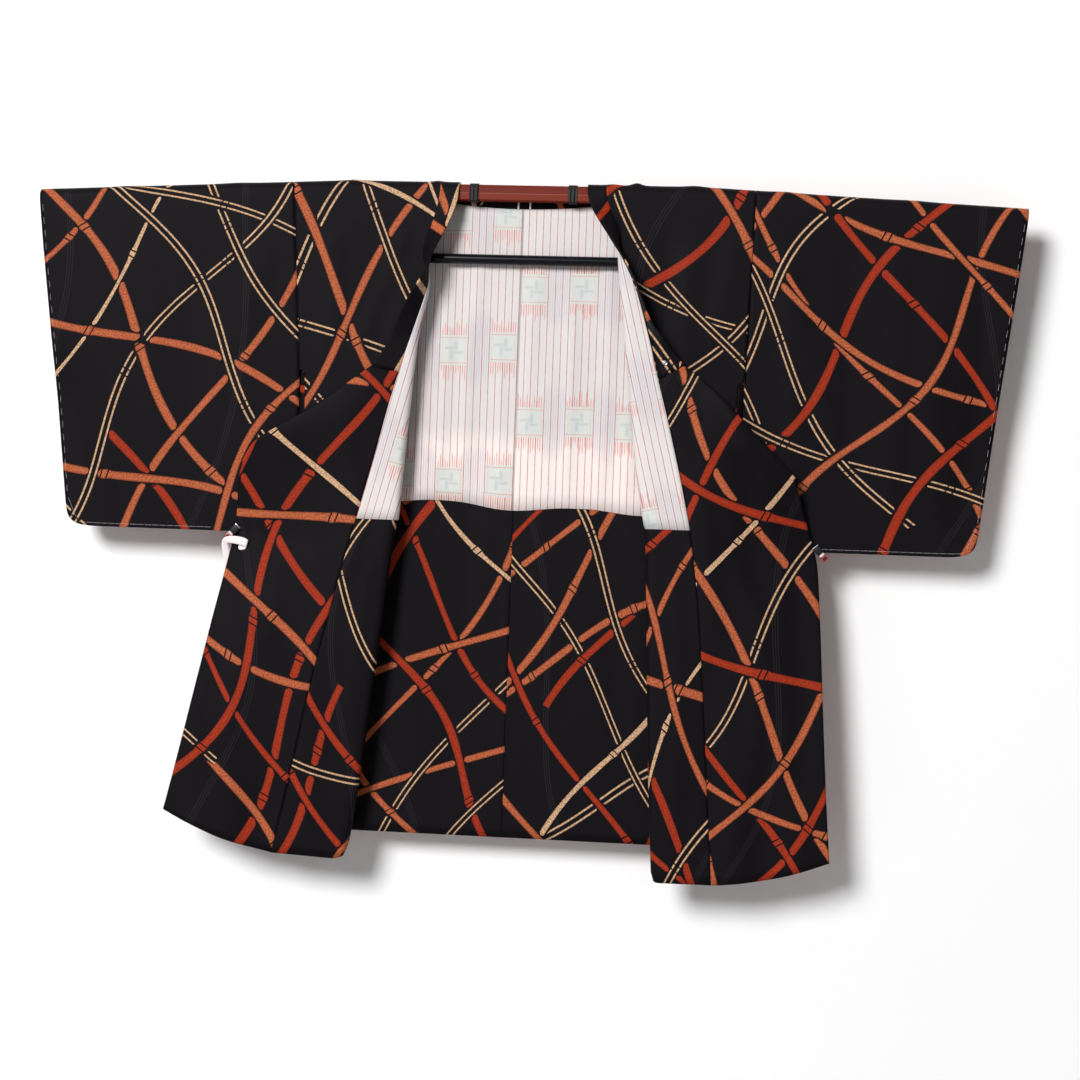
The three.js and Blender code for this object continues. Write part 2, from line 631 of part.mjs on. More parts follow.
// ---------- side gussets ----------
function gussetRow(side, drop, frontDrop, backDrop) {
  const edge = (at) => sideX(side, at) - CLOTH / 2 - GAP;
  const outer = edge(drop);
  const section = [
    [edge(frontDrop) - gussetTurn(side, frontDrop), -LIE, frontDrop],
    [outer - 1.8, -LIE + 1.8, lerp(frontDrop, drop, 0.8)],
    [outer, -5, drop],
    [outer, 5, drop],
    [outer - 1.8, LIE - 1.8, lerp(backDrop, drop, 0.8)],
    [edge(backDrop) - gussetTurn(side, backDrop), LIE, backDrop]];
  return section.map(([x, y, at]) => new THREE.Vector3(SIGN[side] * x, y, height(x, at)));
}
SIDES.forEach((side) => {
  const drops = [GUSSET_START + 2 * GAP, 340, 447, 580, 720];
  const rows = drops.map((drop) => gussetRow(side, drop, drop, drop));
  rows.push(gussetRow(side, SIDE_HEM[side], SIDE_HEM[side], HEM_BACK));
  add(`gusset_${side}`, clothWall(rows, CLOTH), 'silk');
});

// ---------- small pieces ----------
// The hanging loop: two strands that rise from the neck and meet behind the rod.
const LOOP = { half: 8, y: 10.15, bottom: -19.4, top: -6, radius: 0.9 };
class LoopPath extends THREE.Curve {
  getPoint(t, target = new THREE.Vector3()) {
    const leg = LOOP.top - LOOP.bottom;
    const total = 2 * leg + Math.PI * LOOP.half;
    const at = t * total;
    if (at < leg) return target.set(-LOOP.half, LOOP.y, LOOP.bottom + at);
    if (at > total - leg) return target.set(LOOP.half, LOOP.y, LOOP.bottom + total - at);
    const angle = (at - leg) / LOOP.half;
    return target.set(-LOOP.half * Math.cos(angle), LOOP.y, LOOP.top + LOOP.half * Math.sin(angle));
  }
}

function roundSection(radius, sides) {
  const points = Array.from({ length: sides }, (_, k) => {
    const angle = 2 * Math.PI * k / sides;
    return new THREE.Vector2(radius * Math.cos(angle), radius * Math.sin(angle));
  });
  return new THREE.Shape(points);
}
add('hanging_loop', new THREE.ExtrudeGeometry(roundSection(LOOP.radius, 8),
  { steps: 24, extrudePath: new LoopPath(), bevelEnabled: false }), 'lining');

// The snap stud on the right band, below the mitre of the collar.
const STUD = { row: 222, along: 1, radius: 3, height: 2.4 };
const studRow = frontCollarRow('right', STUD.row);
const studBand = readRoll('right', STUD.row).band;
const studOut = new THREE.Vector3(-Math.sin(studBand), Math.cos(studBand), 0);
const studShape = new THREE.CylinderGeometry(STUD.radius * 0.7, STUD.radius, STUD.height, 16);
const stud = add('snap_stud', studShape, 'metal');
stud.quaternion.setFromUnitVectors(new THREE.Vector3(0, 1, 0), studOut);
stud.position.copy(studRow[STUD.along]);
stud.position.addScaledVector(studOut, CLOTH / 2 + 3 * GAP + STUD.height / 2);

// Clips that hold the overlap's edge to the sleeve's lower inner corner.
const CLIP = { length: 24, width: 12, plate: 2, front: -13, back: 4.8, lean: THREE.MathUtils.degToRad(50) };
const CLIP_AT = { left: [-388, -476.5], right: [416, -475.5] };
function clipProfile() {
  const { length, plate, front, back } = CLIP;
  return new THREE.Shape([
    [-plate, front], [length, front], [length, front + plate], [0, front + plate],
    [0, back - plate], [length, back - plate], [length, back], [-plate, back],
  ].map(([along, y]) => new THREE.Vector2(along, y)));
}
SIDES.forEach((side) => {
  const clip = new THREE.ExtrudeGeometry(clipProfile(), { depth: CLIP.width, bevelEnabled: false });
  clip.translate(0, 0, -CLIP.width / 2);
  if (side === 'right') clip.rotateY(Math.PI);
  clip.rotateY(side === 'left' ? -CLIP.lean : CLIP.lean);
  const [x, z] = CLIP_AT[side];
  add(`flap_clip_${side}`, clip, 'clip').position.set(x, 0, z);
});

// The inner tie: a flat tape caught at the left clip, with a short end and a long hanging end.
const TIE = table(['x', 'y', 'z', 'alongX', 'alongZ'],
  [-366, -13.9, -490, -0.6, 0.8],
  [-374, -13.9, -480, -0.9, 0.4],
  [-384, -13.9, -477, -1, -0.2],
  [-391.5, -14, -487, -0.3, -1],
  [-393, -15, -520, -0.05, -1],
  [-397, -20, -558, -0.1, -1]);
const TIE_HALF = 5;
const tieRows = TIE.map((row) => {
  const across = new THREE.Vector3(row.alongZ, 0, -row.alongX).normalize();
  return [-1, 0, 1].map(
    (k) => new THREE.Vector3(row.x, row.y, row.z).addScaledVector(across, k * TIE_HALF));
});
add('inner_tie_left', clothWall(tieRows, LINING), 'lining');

export default coat;
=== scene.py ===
# %% [markdown]
# # A michiyuki coat on its hanger, dressed over its solids
#
# The solids of the coat are already made and packed: plain cloth walls, linings, a collar,
# and the hanger they hang on. This script loads them as a fixed frame and gives each one its
# looks: soft creases in the silk, a printed ground, a striped lining, stitches and fittings.
# Everything is in metres. +X runs along the rod, the open front faces -Y, and +Z is up.

# %% The frame
import math
from itertools import combinations, pairwise

import bmesh
import bpy
import numpy as np
from mathutils import Matrix, Vector
from mathutils.bvhtree import BVHTree


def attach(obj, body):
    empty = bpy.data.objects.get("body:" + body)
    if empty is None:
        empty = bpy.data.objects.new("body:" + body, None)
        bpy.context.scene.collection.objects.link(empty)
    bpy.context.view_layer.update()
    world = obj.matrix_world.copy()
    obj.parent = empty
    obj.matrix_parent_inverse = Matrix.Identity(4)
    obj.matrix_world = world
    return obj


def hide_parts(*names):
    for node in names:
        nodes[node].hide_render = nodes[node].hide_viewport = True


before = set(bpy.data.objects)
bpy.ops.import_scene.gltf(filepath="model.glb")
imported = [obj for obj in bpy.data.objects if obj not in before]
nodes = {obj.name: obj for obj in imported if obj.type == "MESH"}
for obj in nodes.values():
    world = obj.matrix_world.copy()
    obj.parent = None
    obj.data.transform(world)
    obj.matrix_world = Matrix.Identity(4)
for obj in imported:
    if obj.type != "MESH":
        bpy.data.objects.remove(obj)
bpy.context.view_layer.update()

# %% [markdown]
# ## The camera
#
# The coat is seen almost square on, from a little to the right of its middle, and the hanger
# leans a little in the view. A camera could be aimed with a Track To constraint, but then its
# lean has to be added afterwards. Building its three axes as vectors gives the turn and the
# lean in one step, and shows what each one does.

# %% The camera
CAMERA_TARGET = Vector((0.039, 0.0, -0.467))
CAMERA_DISTANCE = 3.0
CAMERA_YAW = math.radians(6.2)
CAMERA_ROLL = math.radians(2.1)
LENS, SENSOR = 74.1, 36  # mm


def add_object(name, data):
    """A new object for some data, linked to the scene."""
    made = bpy.data.objects.new(name, data)
    bpy.context.scene.collection.objects.link(made)
    return made


back = Vector((math.sin(CAMERA_YAW), -math.cos(CAMERA_YAW), 0.0))
level = Vector((math.cos(CAMERA_YAW), math.sin(CAMERA_YAW), 0.0))
across = level * math.cos(CAMERA_ROLL) + Vector((0, 0, 1)) * math.sin(CAMERA_ROLL)
upward = back.cross(across)
camera_data = bpy.data.cameras.new("camera")
camera_data.lens = LENS
camera_data.sensor_width = SENSOR
camera = add_object("camera", camera_data)
axes = Matrix((across, upward, back)).transposed().to_4x4()
camera.matrix_world = Matrix.Translation(CAMERA_TARGET + back * CAMERA_DISTANCE) @ axes
bpy.context.scene.camera = camera
print("camera at", [round(v, 3) for v in camera.location])

# %% [markdown]
# ## The hanging loop
#
# A loop of white cord is sewn into the back neck of the coat, and both of its legs go up behind
# the rod. A cord is best made as a curve with a round bevel: its centreline is the curve itself,
# so its length can be read off the curve and checked.

# %% The hanging loop
# half its width, its place along Y, the heights of its ends and its bend, the cord's radius
LOOP = {"half": 0.008, "y": 0.0100, "bottom": -0.0194, "top": -0.006, "radius": 0.0013}


def loop_points(rises=4, steps=16):
    """The loop's centreline: up one leg, round the top and down the other leg."""
    half, y, bottom, top = (LOOP[part] for part in ("half", "y", "bottom", "top"))
    legs = top - bottom
    points = [(-half, y, bottom + legs * k / rises) for k in range(rises)]
    for k in range(steps + 1):
        angle = math.pi * k / steps
        points.append((-half * math.cos(angle), y, top + half * math.sin(angle)))
    points += [(half, y, top - legs * k / rises) for k in range(1, rises + 1)]
    return points


loop_data = bpy.data.curves.new("loop_cord", "CURVE")
loop_data.dimensions = "3D"
loop_data.bevel_depth = LOOP["radius"]
loop_data.bevel_resolution = 3
loop_data.materials.append(bpy.data.materials.new("tie_white"))  # its nodes are made below
spline = loop_data.splines.new("POLY")
route = loop_points()
spline.points.add(len(route) - 1)
for point, place in zip(spline.points, route):
    point.co = (*place, 1.0)
loop_cord = add_object("loop_cord", loop_data)
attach(loop_cord, "root")
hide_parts("hanging_loop")

# %% [markdown]
# ## Shader nodes in a few words
#
# Every finish below is procedural: it is worked out from numbers, with no picture. Linking
# dozens of Math nodes by hand is hard to read, so one small class adds a node, gives it its
# values or links, and hands back its output. A finish then reads like ordinary arithmetic.

# %% A pen for shader nodes
class Pen:
    """Adds nodes to one material, and returns their output sockets."""

    def __init__(self, name):
        self.material = bpy.data.materials.get(name) or bpy.data.materials.new(name)
        self.material.use_nodes = True
        self.tree = self.material.node_tree
        self.shader = self.tree.nodes["Principled BSDF"]

    def feed(self, socket, value):
        """Links an output to a socket, or sets the socket's value."""
        if isinstance(value, bpy.types.NodeSocket):
            self.tree.links.new(value, socket)
        else:
            socket.default_value = value

    def node(self, kind, inputs, **settings):
        """A new node with its settings made and its inputs fed; returns its outputs."""
        made = self.tree.nodes.new(f"ShaderNode{kind}")
        for name, value in settings.items():
            setattr(made, name, value)
        for name, value in inputs.items():
            self.feed(made.inputs[name], value)
        return made.outputs

    def calc(self, operation, *values, clamp=False):
        inputs = dict(enumerate(values))
        return self.node("Math", inputs, operation=operation, use_clamp=clamp)[0]

    def add(self, a, b):
        return self.calc("ADD", a, b)

    def minus(self, a, b):
        return self.calc("SUBTRACT", a, b)

    def times(self, a, b, *more):
        made = self.calc("MULTIPLY", a, b)
        return self.times(made, *more) if more else made

    def apart(self, a, b):
        """How far one value is from another."""
        return self.calc("ABSOLUTE", self.minus(a, b))

    def edge(self, distance, half, soft):
        """1 where a distance is under 'half', 0 beyond it, with a soft edge."""
        return self.calc("MULTIPLY_ADD", self.minus(half, distance), 1 / soft, 0.5, clamp=True)

    def band(self, value, middle, half, soft):
        """1 where a value is less than 'half' away from a middle, with soft edges."""
        return self.edge(self.apart(value, middle), half, soft)

    def mix(self, share, low, high):
        inputs = {0: share, 6: low, 7: high}
        return self.node("Mix", inputs, data_type="RGBA", clamp_factor=True)[2]

    def chance(self, seed_a, seed_b=0.0):
        """A number from 0 to 1 that is the same for the same two seeds."""
        pair = self.node("CombineXYZ", {0: seed_a, 1: seed_b})[0]
        return self.node("TexWhiteNoise", {"Vector": pair}, noise_dimensions="3D")["Value"]

    def noise(self, vector, scale, detail=2.0, output="Fac"):
        return self.node("TexNoise", {"Vector": vector, "Scale": scale, "Detail": detail})[output]

    def cloth_place(self):
        """Across and along the cloth, in metres, and both as a vector, from the UV map."""
        place = self.node("UVMap", {}, uv_map="cloth")["UV"]
        across, along, _ = self.node("SeparateXYZ", {0: place})
        return across, along, place

    def object_place(self):
        """The place in the object's own frame, and its height alone."""
        place = self.node("TexCoord", {})["Object"]
        return place, self.node("SeparateXYZ", {0: place})[2]

    def bump(self, height, distance, strength=1.0):
        inputs = {"Strength": strength, "Distance": distance, "Height": height}
        self.feed(self.shader.inputs["Normal"], self.node("Bump", inputs)[0])

    def look(self, base, roughness, shine, metallic=0.0, sheen=0.0, sheen_roughness=0.5):
        """Sets the shader's colour, gloss and sheen, and returns the finished material."""
        for name, value in {"Base Color": base, "Roughness": roughness, "Metallic": metallic,
                            "Specular IOR Level": shine, "Sheen Weight": sheen,
                            "Sheen Roughness": sheen_roughness}.items():
            self.feed(self.shader.inputs[name], value)
        return self.material


def colour(red, green, blue):
    """A colour as a screen shows it, 0 to 255, turned into the linear values that shaders use."""
    return (*[((c / 255 + 0.055) / 1.055) ** 2.4 if c > 10 else c / 255 / 12.92
              for c in (red, green, blue)], 1.0)


print("a mid grey turns into", round(colour(128, 128, 128)[0], 3))

# %% [markdown]
# ## The printed silk
#
# The coat is cut from black silk crepe with a printed lattice of long, gently curving canes in
# red, orange and pale gold that pass over and under each other. A print could be painted as a
# picture, but a worked-out one stays sharp at any distance. Each direction of the lattice is
# one periodic distance: the cloth's place is turned, waved a little and split into lanes, and
# every lane draws its own cane. Where two canes cross, one of them stops short on both sides.

# %% The canes' colours and sizes
RED = colour(168, 53, 28)
ORANGE = colour(187, 101, 65)
GOLD = colour(211, 173, 136)
RIM = colour(96, 30, 16)
GROUND = colour(12, 9, 13)
# turn in degrees, lane spacing, wave height, wave length, seed
DIRECTIONS = [
    (58, 0.096, 0.018, 0.46, 3.0),
    (-56, 0.094, 0.019, 0.54, 8.0),
    (-24, 0.170, 0.026, 0.62, 14.0),
]
WOVEN = (79, 0.260, 0.034, 0.66, 21.0)  # the same, for faint lines in the ground itself
RED_UP_TO, GOLD_FROM, TWIN_UP_TO = 0.27, 0.60, 0.95  # a lane's own number picks its kind
JOINT_PITCH = 0.190  # a cane has a joint about this often
MISSING = 0.03  # share of the stretches between joints that are left out
THINNEST, THICKER = 0.0041, 0.0015  # half width of the thinnest cane, and how much more
GOLD_THINNER = -0.0018
TWIN_AT, TWIN_HALF = 0.0040, 0.0012  # the two lines of a cane drawn as a pair
RING_AT, RING_HALF = 0.0040, 0.0010  # the two rings of bare ground at a joint
RIB_AT, RIB_HALF = 0.0022, 0.0004  # a dark line along each side of a red cane
BORDER = 0.0018  # bare ground beside a cane where another passes under it
ROUND_END = 0.0030  # how much sooner a cane's sides stop than its middle
SOFT = 0.0006  # width of a cane's soft edge
print(len(DIRECTIONS), "directions of canes, with a joint every", JOINT_PITCH, "m")


# %% One direction of canes
def lanes(pen, u, v, turn, spacing, wave, wave_length, seed):
    """Waving lanes: how far along, which lane, its own number, how far off its middle."""
    cos, sin = math.cos(math.radians(turn)), math.sin(math.radians(turn))
    along = pen.add(pen.times(u, cos), pen.times(v, sin))
    over = pen.minus(pen.times(v, cos), pen.times(u, sin))
    lane = pen.calc("FLOOR", pen.calc("MULTIPLY_ADD", over, 1 / spacing, 0.5))
    own = pen.chance(lane, seed)
    phase = pen.calc("MULTIPLY_ADD", along, 2 * math.pi / wave_length, pen.times(own, 37.0))
    middle = pen.calc("MULTIPLY_ADD", lane, spacing, pen.times(pen.calc("SINE", phase), wave))
    shift = pen.times(pen.minus(pen.chance(lane, seed + 0.5), 0.5), spacing * 0.22)
    return along, lane, own, pen.apart(pen.minus(over, middle), shift)


def canes(pen, u, v, direction):
    """The canes that run one way: where their ink is, how far they keep others off, their tint."""
    seed = direction[-1]
    along, lane, own, distance = lanes(pen, u, v, *direction)
    stretch = pen.calc("MULTIPLY_ADD", along, 1 / JOINT_PITCH, pen.times(own, 9.0))
    from_joint = pen.times(pen.apart(pen.calc("FRACT", stretch), 0.5), JOINT_PITCH)
    cell = pen.add(pen.calc("FLOOR", stretch), pen.times(lane, 31.0))
    there = pen.calc("GREATER_THAN", pen.chance(cell, seed + 2), MISSING)
    kind = pen.chance(lane, seed + 4)
    is_red = pen.calc("LESS_THAN", kind, RED_UP_TO)
    is_gold = pen.calc("GREATER_THAN", kind, GOLD_FROM)
    is_twin = pen.times(is_gold, pen.calc("LESS_THAN", kind, TWIN_UP_TO))

    swell = pen.times(pen.edge(from_joint, 0.0062, 0.005), 0.0013)
    uneven = pen.times(pen.calc("SINE", pen.times(along, 61.0)), 0.0003)
    thick = pen.calc("MULTIPLY_ADD", pen.chance(lane, seed + 6), THICKER, THINNEST)
    half = pen.add(pen.add(thick, pen.times(is_gold, GOLD_THINNER)), pen.add(swell, uneven))
    reach = pen.add(half, pen.times(is_twin, 0.0026))
    solid = pen.edge(distance, half, SOFT)
    twin = pen.band(distance, TWIN_AT, TWIN_HALF, 0.0005)
    ink = pen.add(solid, pen.times(is_twin, pen.minus(twin, solid)))
    ink = pen.times(ink, pen.minus(1.0, pen.band(from_joint, RING_AT, RING_HALF, 0.0005)))
    tint = pen.mix(is_gold, pen.mix(is_red, ORANGE, RED), GOLD)
    rim = pen.times(pen.edge(pen.minus(half, distance), 0.0013, 0.0012), pen.minus(1.0, is_gold))
    rib = pen.times(pen.band(distance, RIB_AT, RIB_HALF, SOFT), is_red, 0.7)
    part = pen.calc("DIVIDE", distance, reach, clamp=True)
    return {"ink": pen.times(ink, there), "tint": tint, "lane": lane,
            "rim": pen.calc("MAXIMUM", rim, rib), "there": there, "distance": distance,
            "room": pen.add(reach, BORDER), "round": pen.times(part, part, ROUND_END)}


def kept_off(pen, upper, under):
    """Where an upper cane keeps an under one off: more at its sides, so that its end is round."""
    room = pen.add(upper["room"], under["round"])
    return pen.times(pen.edge(upper["distance"], room, SOFT), upper["there"])


# %% The silk itself
def printed_silk():
    pen = Pen("printed_silk")
    u, v, place = pen.cloth_place()
    drift = pen.node("SeparateColor", {0: pen.noise(place, 2.1, 0.0, "Color")})
    u_set = pen.calc("MULTIPLY_ADD", drift[0], 0.11, u)
    v_set = pen.calc("MULTIPLY_ADD", drift[1], 0.11, v)
    ways = [canes(pen, u_set, v_set, direction) for direction in DIRECTIONS]
    for a, b in combinations(ways, 2):
        on_top = pen.calc("GREATER_THAN", pen.chance(a["lane"], pen.add(b["lane"], 0.3)), 0.5)
        below = pen.times(kept_off(pen, a, b), on_top)
        above = pen.times(kept_off(pen, b, a), pen.minus(1.0, on_top))
        b["ink"] = pen.times(b["ink"], pen.minus(1.0, below))
        a["ink"] = pen.times(a["ink"], pen.minus(1.0, above))
    grain = pen.noise(place, 420.0, 1.0)
    speck = pen.edge(grain, 0.48, 0.10)
    base = pen.mix(pen.times(pen.noise(place, 900.0, 1.0), 0.25), GROUND, colour(27, 23, 29))
    woven = lanes(pen, u_set, v_set, *WOVEN)[-1]
    strand = pen.edge(pen.calc("PINGPONG", woven, 0.0017), 0.0004, 0.0005)
    strands = pen.times(strand, pen.edge(woven, 0.0060, 0.0004), 0.30)
    base = pen.mix(strands, base, colour(66, 64, 70))
    for way in ways:
        worn = pen.mix(pen.times(speck, 0.50), way["tint"], RIM)
        edged = pen.mix(pen.times(way["rim"], 0.55), worn, RIM)
        base = pen.mix(way["ink"], base, edged)
    pen.bump(grain, 0.00012, 0.5)
    return pen.look(base, 0.62, 0.08, sheen=0.01, sheen_roughness=0.45)


silk = printed_silk()
print("silk:", len(silk.node_tree.nodes), "nodes")

# %% [markdown]
# ## The lining
#
# The lining is white silk with thin red pinstripes, closer lilac ones between them, and rows of
# small woven squares. Such squares are kasuri, yarn dyed before it is woven, so their upper and
# lower ends fray out into the stripes. All of it is a grid of distances in the cloth's own map.
# Only the painted light goes by height: the lowest part of the lining is painted lighter, standing
# in for the brighter light there.

# %% The lining's sizes and colours
STRIPE_PITCH = 0.0097
STREAK_PITCH = 0.0032  # of the frayed yarns above and below a square
SQUARE = {"across": 7 * STRIPE_PITCH, "down": 0.180, "half": 0.0185, "beside": 0.044}
CROSS_ARM = 0.0125  # half the length of the cross woven into a square
STRIPE_RED = colour(172, 78, 70)
STREAK_RED = colour(216, 120, 106)
PAINTED_LIGHT_TOP = -0.330  # height below which the lining is painted lighter, as painted light
print("a stripe every", STRIPE_PITCH, "m, a row of squares every", SQUARE["down"], "m")

# %% The lining's silk
def striped_lining(name, painted_light_share):
    """The lining's silk; the last number says how strongly its lowest part is painted lighter, as
    painted light.
    """
    pen = Pen(name)
    u, v, place = pen.cloth_place()

    def from_line(value, pitch, shift=0.0):
        """Distance to the nearest of a row of lines that far apart."""
        part = pen.calc("FRACT", pen.calc("MULTIPLY_ADD", value, 1 / pitch, shift))
        return pen.times(pen.apart(part, 0.5), pitch)

    def from_middle(value, pitch):
        """How far a value is past the middle of its own cell."""
        part = pen.calc("FRACT", pen.times(value, 1 / pitch))
        return pen.times(pen.minus(part, 0.5), pitch)

    column = pen.calc("FLOOR", pen.times(u, 1 / SQUARE["across"]))
    step = pen.times(pen.chance(column, 2.0), 0.012)
    off_x = from_line(u, SQUARE["across"])
    above = from_middle(pen.add(v, step), SQUARE["down"])
    off_z = pen.calc("ABSOLUTE", above)
    in_x = pen.edge(off_x, SQUARE["half"], 0.0008)
    inside = pen.times(in_x, pen.edge(off_z, SQUARE["half"] + 0.0018, 0.0008))
    outside = pen.minus(1.0, inside)

    uneven = pen.calc("MULTIPLY_ADD", pen.noise(place, 120.0, 2.0), 0.8, 0.42, clamp=True)
    pin = pen.times(pen.edge(from_line(u, STRIPE_PITCH), 0.00050, 0.0006), uneven)
    half_way = pen.edge(from_line(u, STRIPE_PITCH, 0.5), 0.0026, 0.003)
    beside = pen.times(pen.minus(1.0, in_x), pen.edge(off_z, SQUARE["beside"], 0.022))
    close = pen.times(pen.edge(from_line(u, STRIPE_PITCH / 3), 0.0005, 0.0007), beside)

    thread = pen.calc("FLOOR", pen.times(u, 1 / STREAK_PITCH))
    length = pen.calc("MULTIPLY_ADD", pen.chance(thread, pen.calc("SIGN", above)), 0.017, 0.026)
    streak = pen.times(pen.edge(from_line(u, STREAK_PITCH), 0.0005, 0.0008),
                       pen.edge(off_z, length, 0.006))
    streak = pen.times(streak, pen.times(in_x, outside))

    frame_line = pen.times(pen.band(off_z, SQUARE["half"] - 0.0014, 0.0004, 0.0006), in_x)
    side_line = pen.times(pen.band(off_x, SQUARE["half"] - 0.0030, 0.0003, 0.0007), inside)
    lean = pen.times(pen.calc("SIGN", above), 0.0030)
    beyond = from_middle(u, SQUARE["across"])
    tip = pen.times(pen.calc("SIGN", beyond), -0.0030)
    upright = pen.times(pen.band(beyond, lean, 0.0022, 0.0022),
                        pen.edge(off_z, CROSS_ARM, 0.003))
    level_arm = pen.times(pen.band(above, tip, 0.0018, 0.0022),
                          pen.edge(off_x, CROSS_ARM, 0.003))
    mark = pen.times(pen.calc("MAXIMUM", upright, level_arm), inside)
    # painted light: the lowest part of the lining is painted lighter
    _, height = pen.object_place()
    painted_light_low = pen.edge(height, PAINTED_LIGHT_TOP, 0.030)

    base = pen.mix(pen.noise(place, 9.0, 3.0), colour(218, 209, 206), colour(231, 223, 221))
    for where, share, tint in (
        (half_way, 0.55, colour(210, 213, 212)),
        (painted_light_low, painted_light_share, colour(249, 235, 230)),
        (beside, 0.24, colour(200, 199, 209)),
        (close, 0.48, colour(178, 163, 182)),
        (pen.times(pin, outside), 0.95, STRIPE_RED),
        (streak, 0.88, STREAK_RED),
        (inside, 0.80, colour(209, 213, 208)),
        (mark, 0.62, colour(182, 194, 196)),
        (side_line, 0.35, STREAK_RED),
        (frame_line, 0.70, STREAK_RED),
    ):
        base = pen.mix(pen.times(where, share), base, tint)
    pen.bump(pen.noise(place, 1100.0, 1.0), 0.00006, 0.4)
    return pen.look(base, 0.70, 0.30, sheen=0.10, sheen_roughness=0.40)


back_lining = striped_lining("back_lining", 0.75)
front_lining = striped_lining("front_lining", 0.20)
print("lining:", len(back_lining.node_tree.nodes), "nodes")

# %% [markdown]
# ## The hanger's finishes
#
# The rod is lacquered red-brown, its wraps are ridges of black tape, and the bar for the sash is
# satin black. These solids already have their true shapes, so they stay and only get a material.
# Their patterns read Object coordinates, because plain solids carry no map of their own.

# %% Rod and tape
# a painted highlight line runs along the rod at this height, and the face below it is painted
# lighter, as painted light
ROD_HIGHLIGHT_HEIGHT = -0.0018  # height of the fine ridge along the rod's face


def lacquer():
    pen = Pen("rod_lacquer")
    place, height = pen.object_place()
    drawn_out = pen.node("Mapping", {"Vector": place, "Scale": (0.06, 1.0, 1.0)})[0]
    streak = pen.noise(drawn_out, 420.0, 3.0)
    base = pen.mix(streak, colour(96, 29, 18), colour(118, 39, 25))
    # painted light: the face below the ridge is painted lighter, and a thin painted highlight runs
    # along the ridge
    lower = pen.edge(height, ROD_HIGHLIGHT_HEIGHT, 0.0006)
    base = pen.mix(pen.times(lower, 0.45), base, colour(132, 48, 25))
    ridge_highlight = pen.band(height, ROD_HIGHLIGHT_HEIGHT, 0.0004, 0.0007)
    base = pen.mix(pen.times(ridge_highlight, 0.30), base, colour(206, 132, 108))
    pen.bump(streak, 0.00010, 0.35)
    return pen.look(base, 0.42, 0.12)


def tape():
    pen = Pen("wrap_tape")
    inputs = {"Vector": pen.object_place()[0], "Scale": 62.0, "Distortion": 1.2}
    ridges = pen.node("TexWave", inputs, wave_type="BANDS", bands_direction="X")["Fac"]
    pen.bump(ridges, 0.0006, 0.8)
    # painted shade: the tape's grooves are painted darker and its crests lighter, following the
    # bump
    return pen.look(pen.mix(ridges, colour(3, 3, 4), colour(17, 17, 19)), 0.50, 0.25)


# %% Bar, clips, tie, stud and thread
# name: darker and lighter colour, roughness, shine, how metallic, scale of its fine mottle
SATINS = {
    "bar_black": ((10, 11, 14), (17, 18, 22), 0.22, 0.22),
    "clip_black": ((16, 16, 18), (30, 30, 32), 0.42, 0.25),
    "clip_lip": ((168, 42, 40), (190, 64, 58), 0.40),
    "clip_pad": ((226, 196, 192), (242, 222, 218), 0.45),
    "tie_white": ((242, 228, 228), (250, 240, 240), 0.70, 0.5, 0.0, 1800.0),
    "stud_steel": ((190, 190, 194), (214, 214, 218), 0.28, 0.5, 1.0),
    "white_thread": ((160, 160, 164), (192, 192, 195), 0.75, 0.5, 0.0, 2400.0),
}


def satin(name, dark, light, roughness, shine=0.5, metallic=0.0, scale=600.0):
    pen = Pen(name)
    mottle = pen.noise(pen.object_place()[0], scale)
    pen.bump(mottle, 0.00005, 0.3)
    base = pen.mix(mottle, colour(*dark), colour(*light))
    return pen.look(base, roughness, shine, metallic)


ROD_PARTS = ["hanger_rod_centre", "hanger_arm_left", "hanger_arm_right"]
WRAPS = ["hanger_band_left", "hanger_band_right"]
BAR_PARTS = ["obi_bar", "obi_bar_strut_left", "obi_bar_strut_right"]
finishes = {name: satin(name, *row) for name, row in SATINS.items()}
for finish, kept in ((lacquer(), ROD_PARTS), (tape(), WRAPS), (finishes["bar_black"], BAR_PARTS)):
    for node in kept:
        nodes[node].data.materials.clear()
        nodes[node].data.materials.append(finish)
    print(finish.name, "on", *kept)

# %% [markdown]
# ## Cloth from the solids
#
# A cloth solid is a closed wall on a coarse grid. For its soft look, a copy is merged, its
# triangles are paired back into quads, and a Subdivision Surface rounds it. The rims are marked
# as creases first, otherwise the smoothing would pull every hem and seam inwards and open gaps.

# %% A soft copy of a solid
RIM_ANGLE = math.radians(60)
SEAM_EASE = 0.00020  # seamed solids stand 0.3 mm apart, and sewn silk doesn't
SAME_PLACE = 0.00001  # vertices closer than this are merged
PAIR_BEND, PAIR_SKEW = math.radians(48), math.radians(85)  # most that a paired quad may have


def corners_of(mesh):
    """The places of a mesh's vertices, one row each."""
    places = np.zeros(len(mesh.vertices) * 3)
    mesh.vertices.foreach_get("co", places)
    return places.reshape(-1, 3)


def put_corners(mesh, places):
    mesh.vertices.foreach_set("co", places.ravel())
    mesh.update()


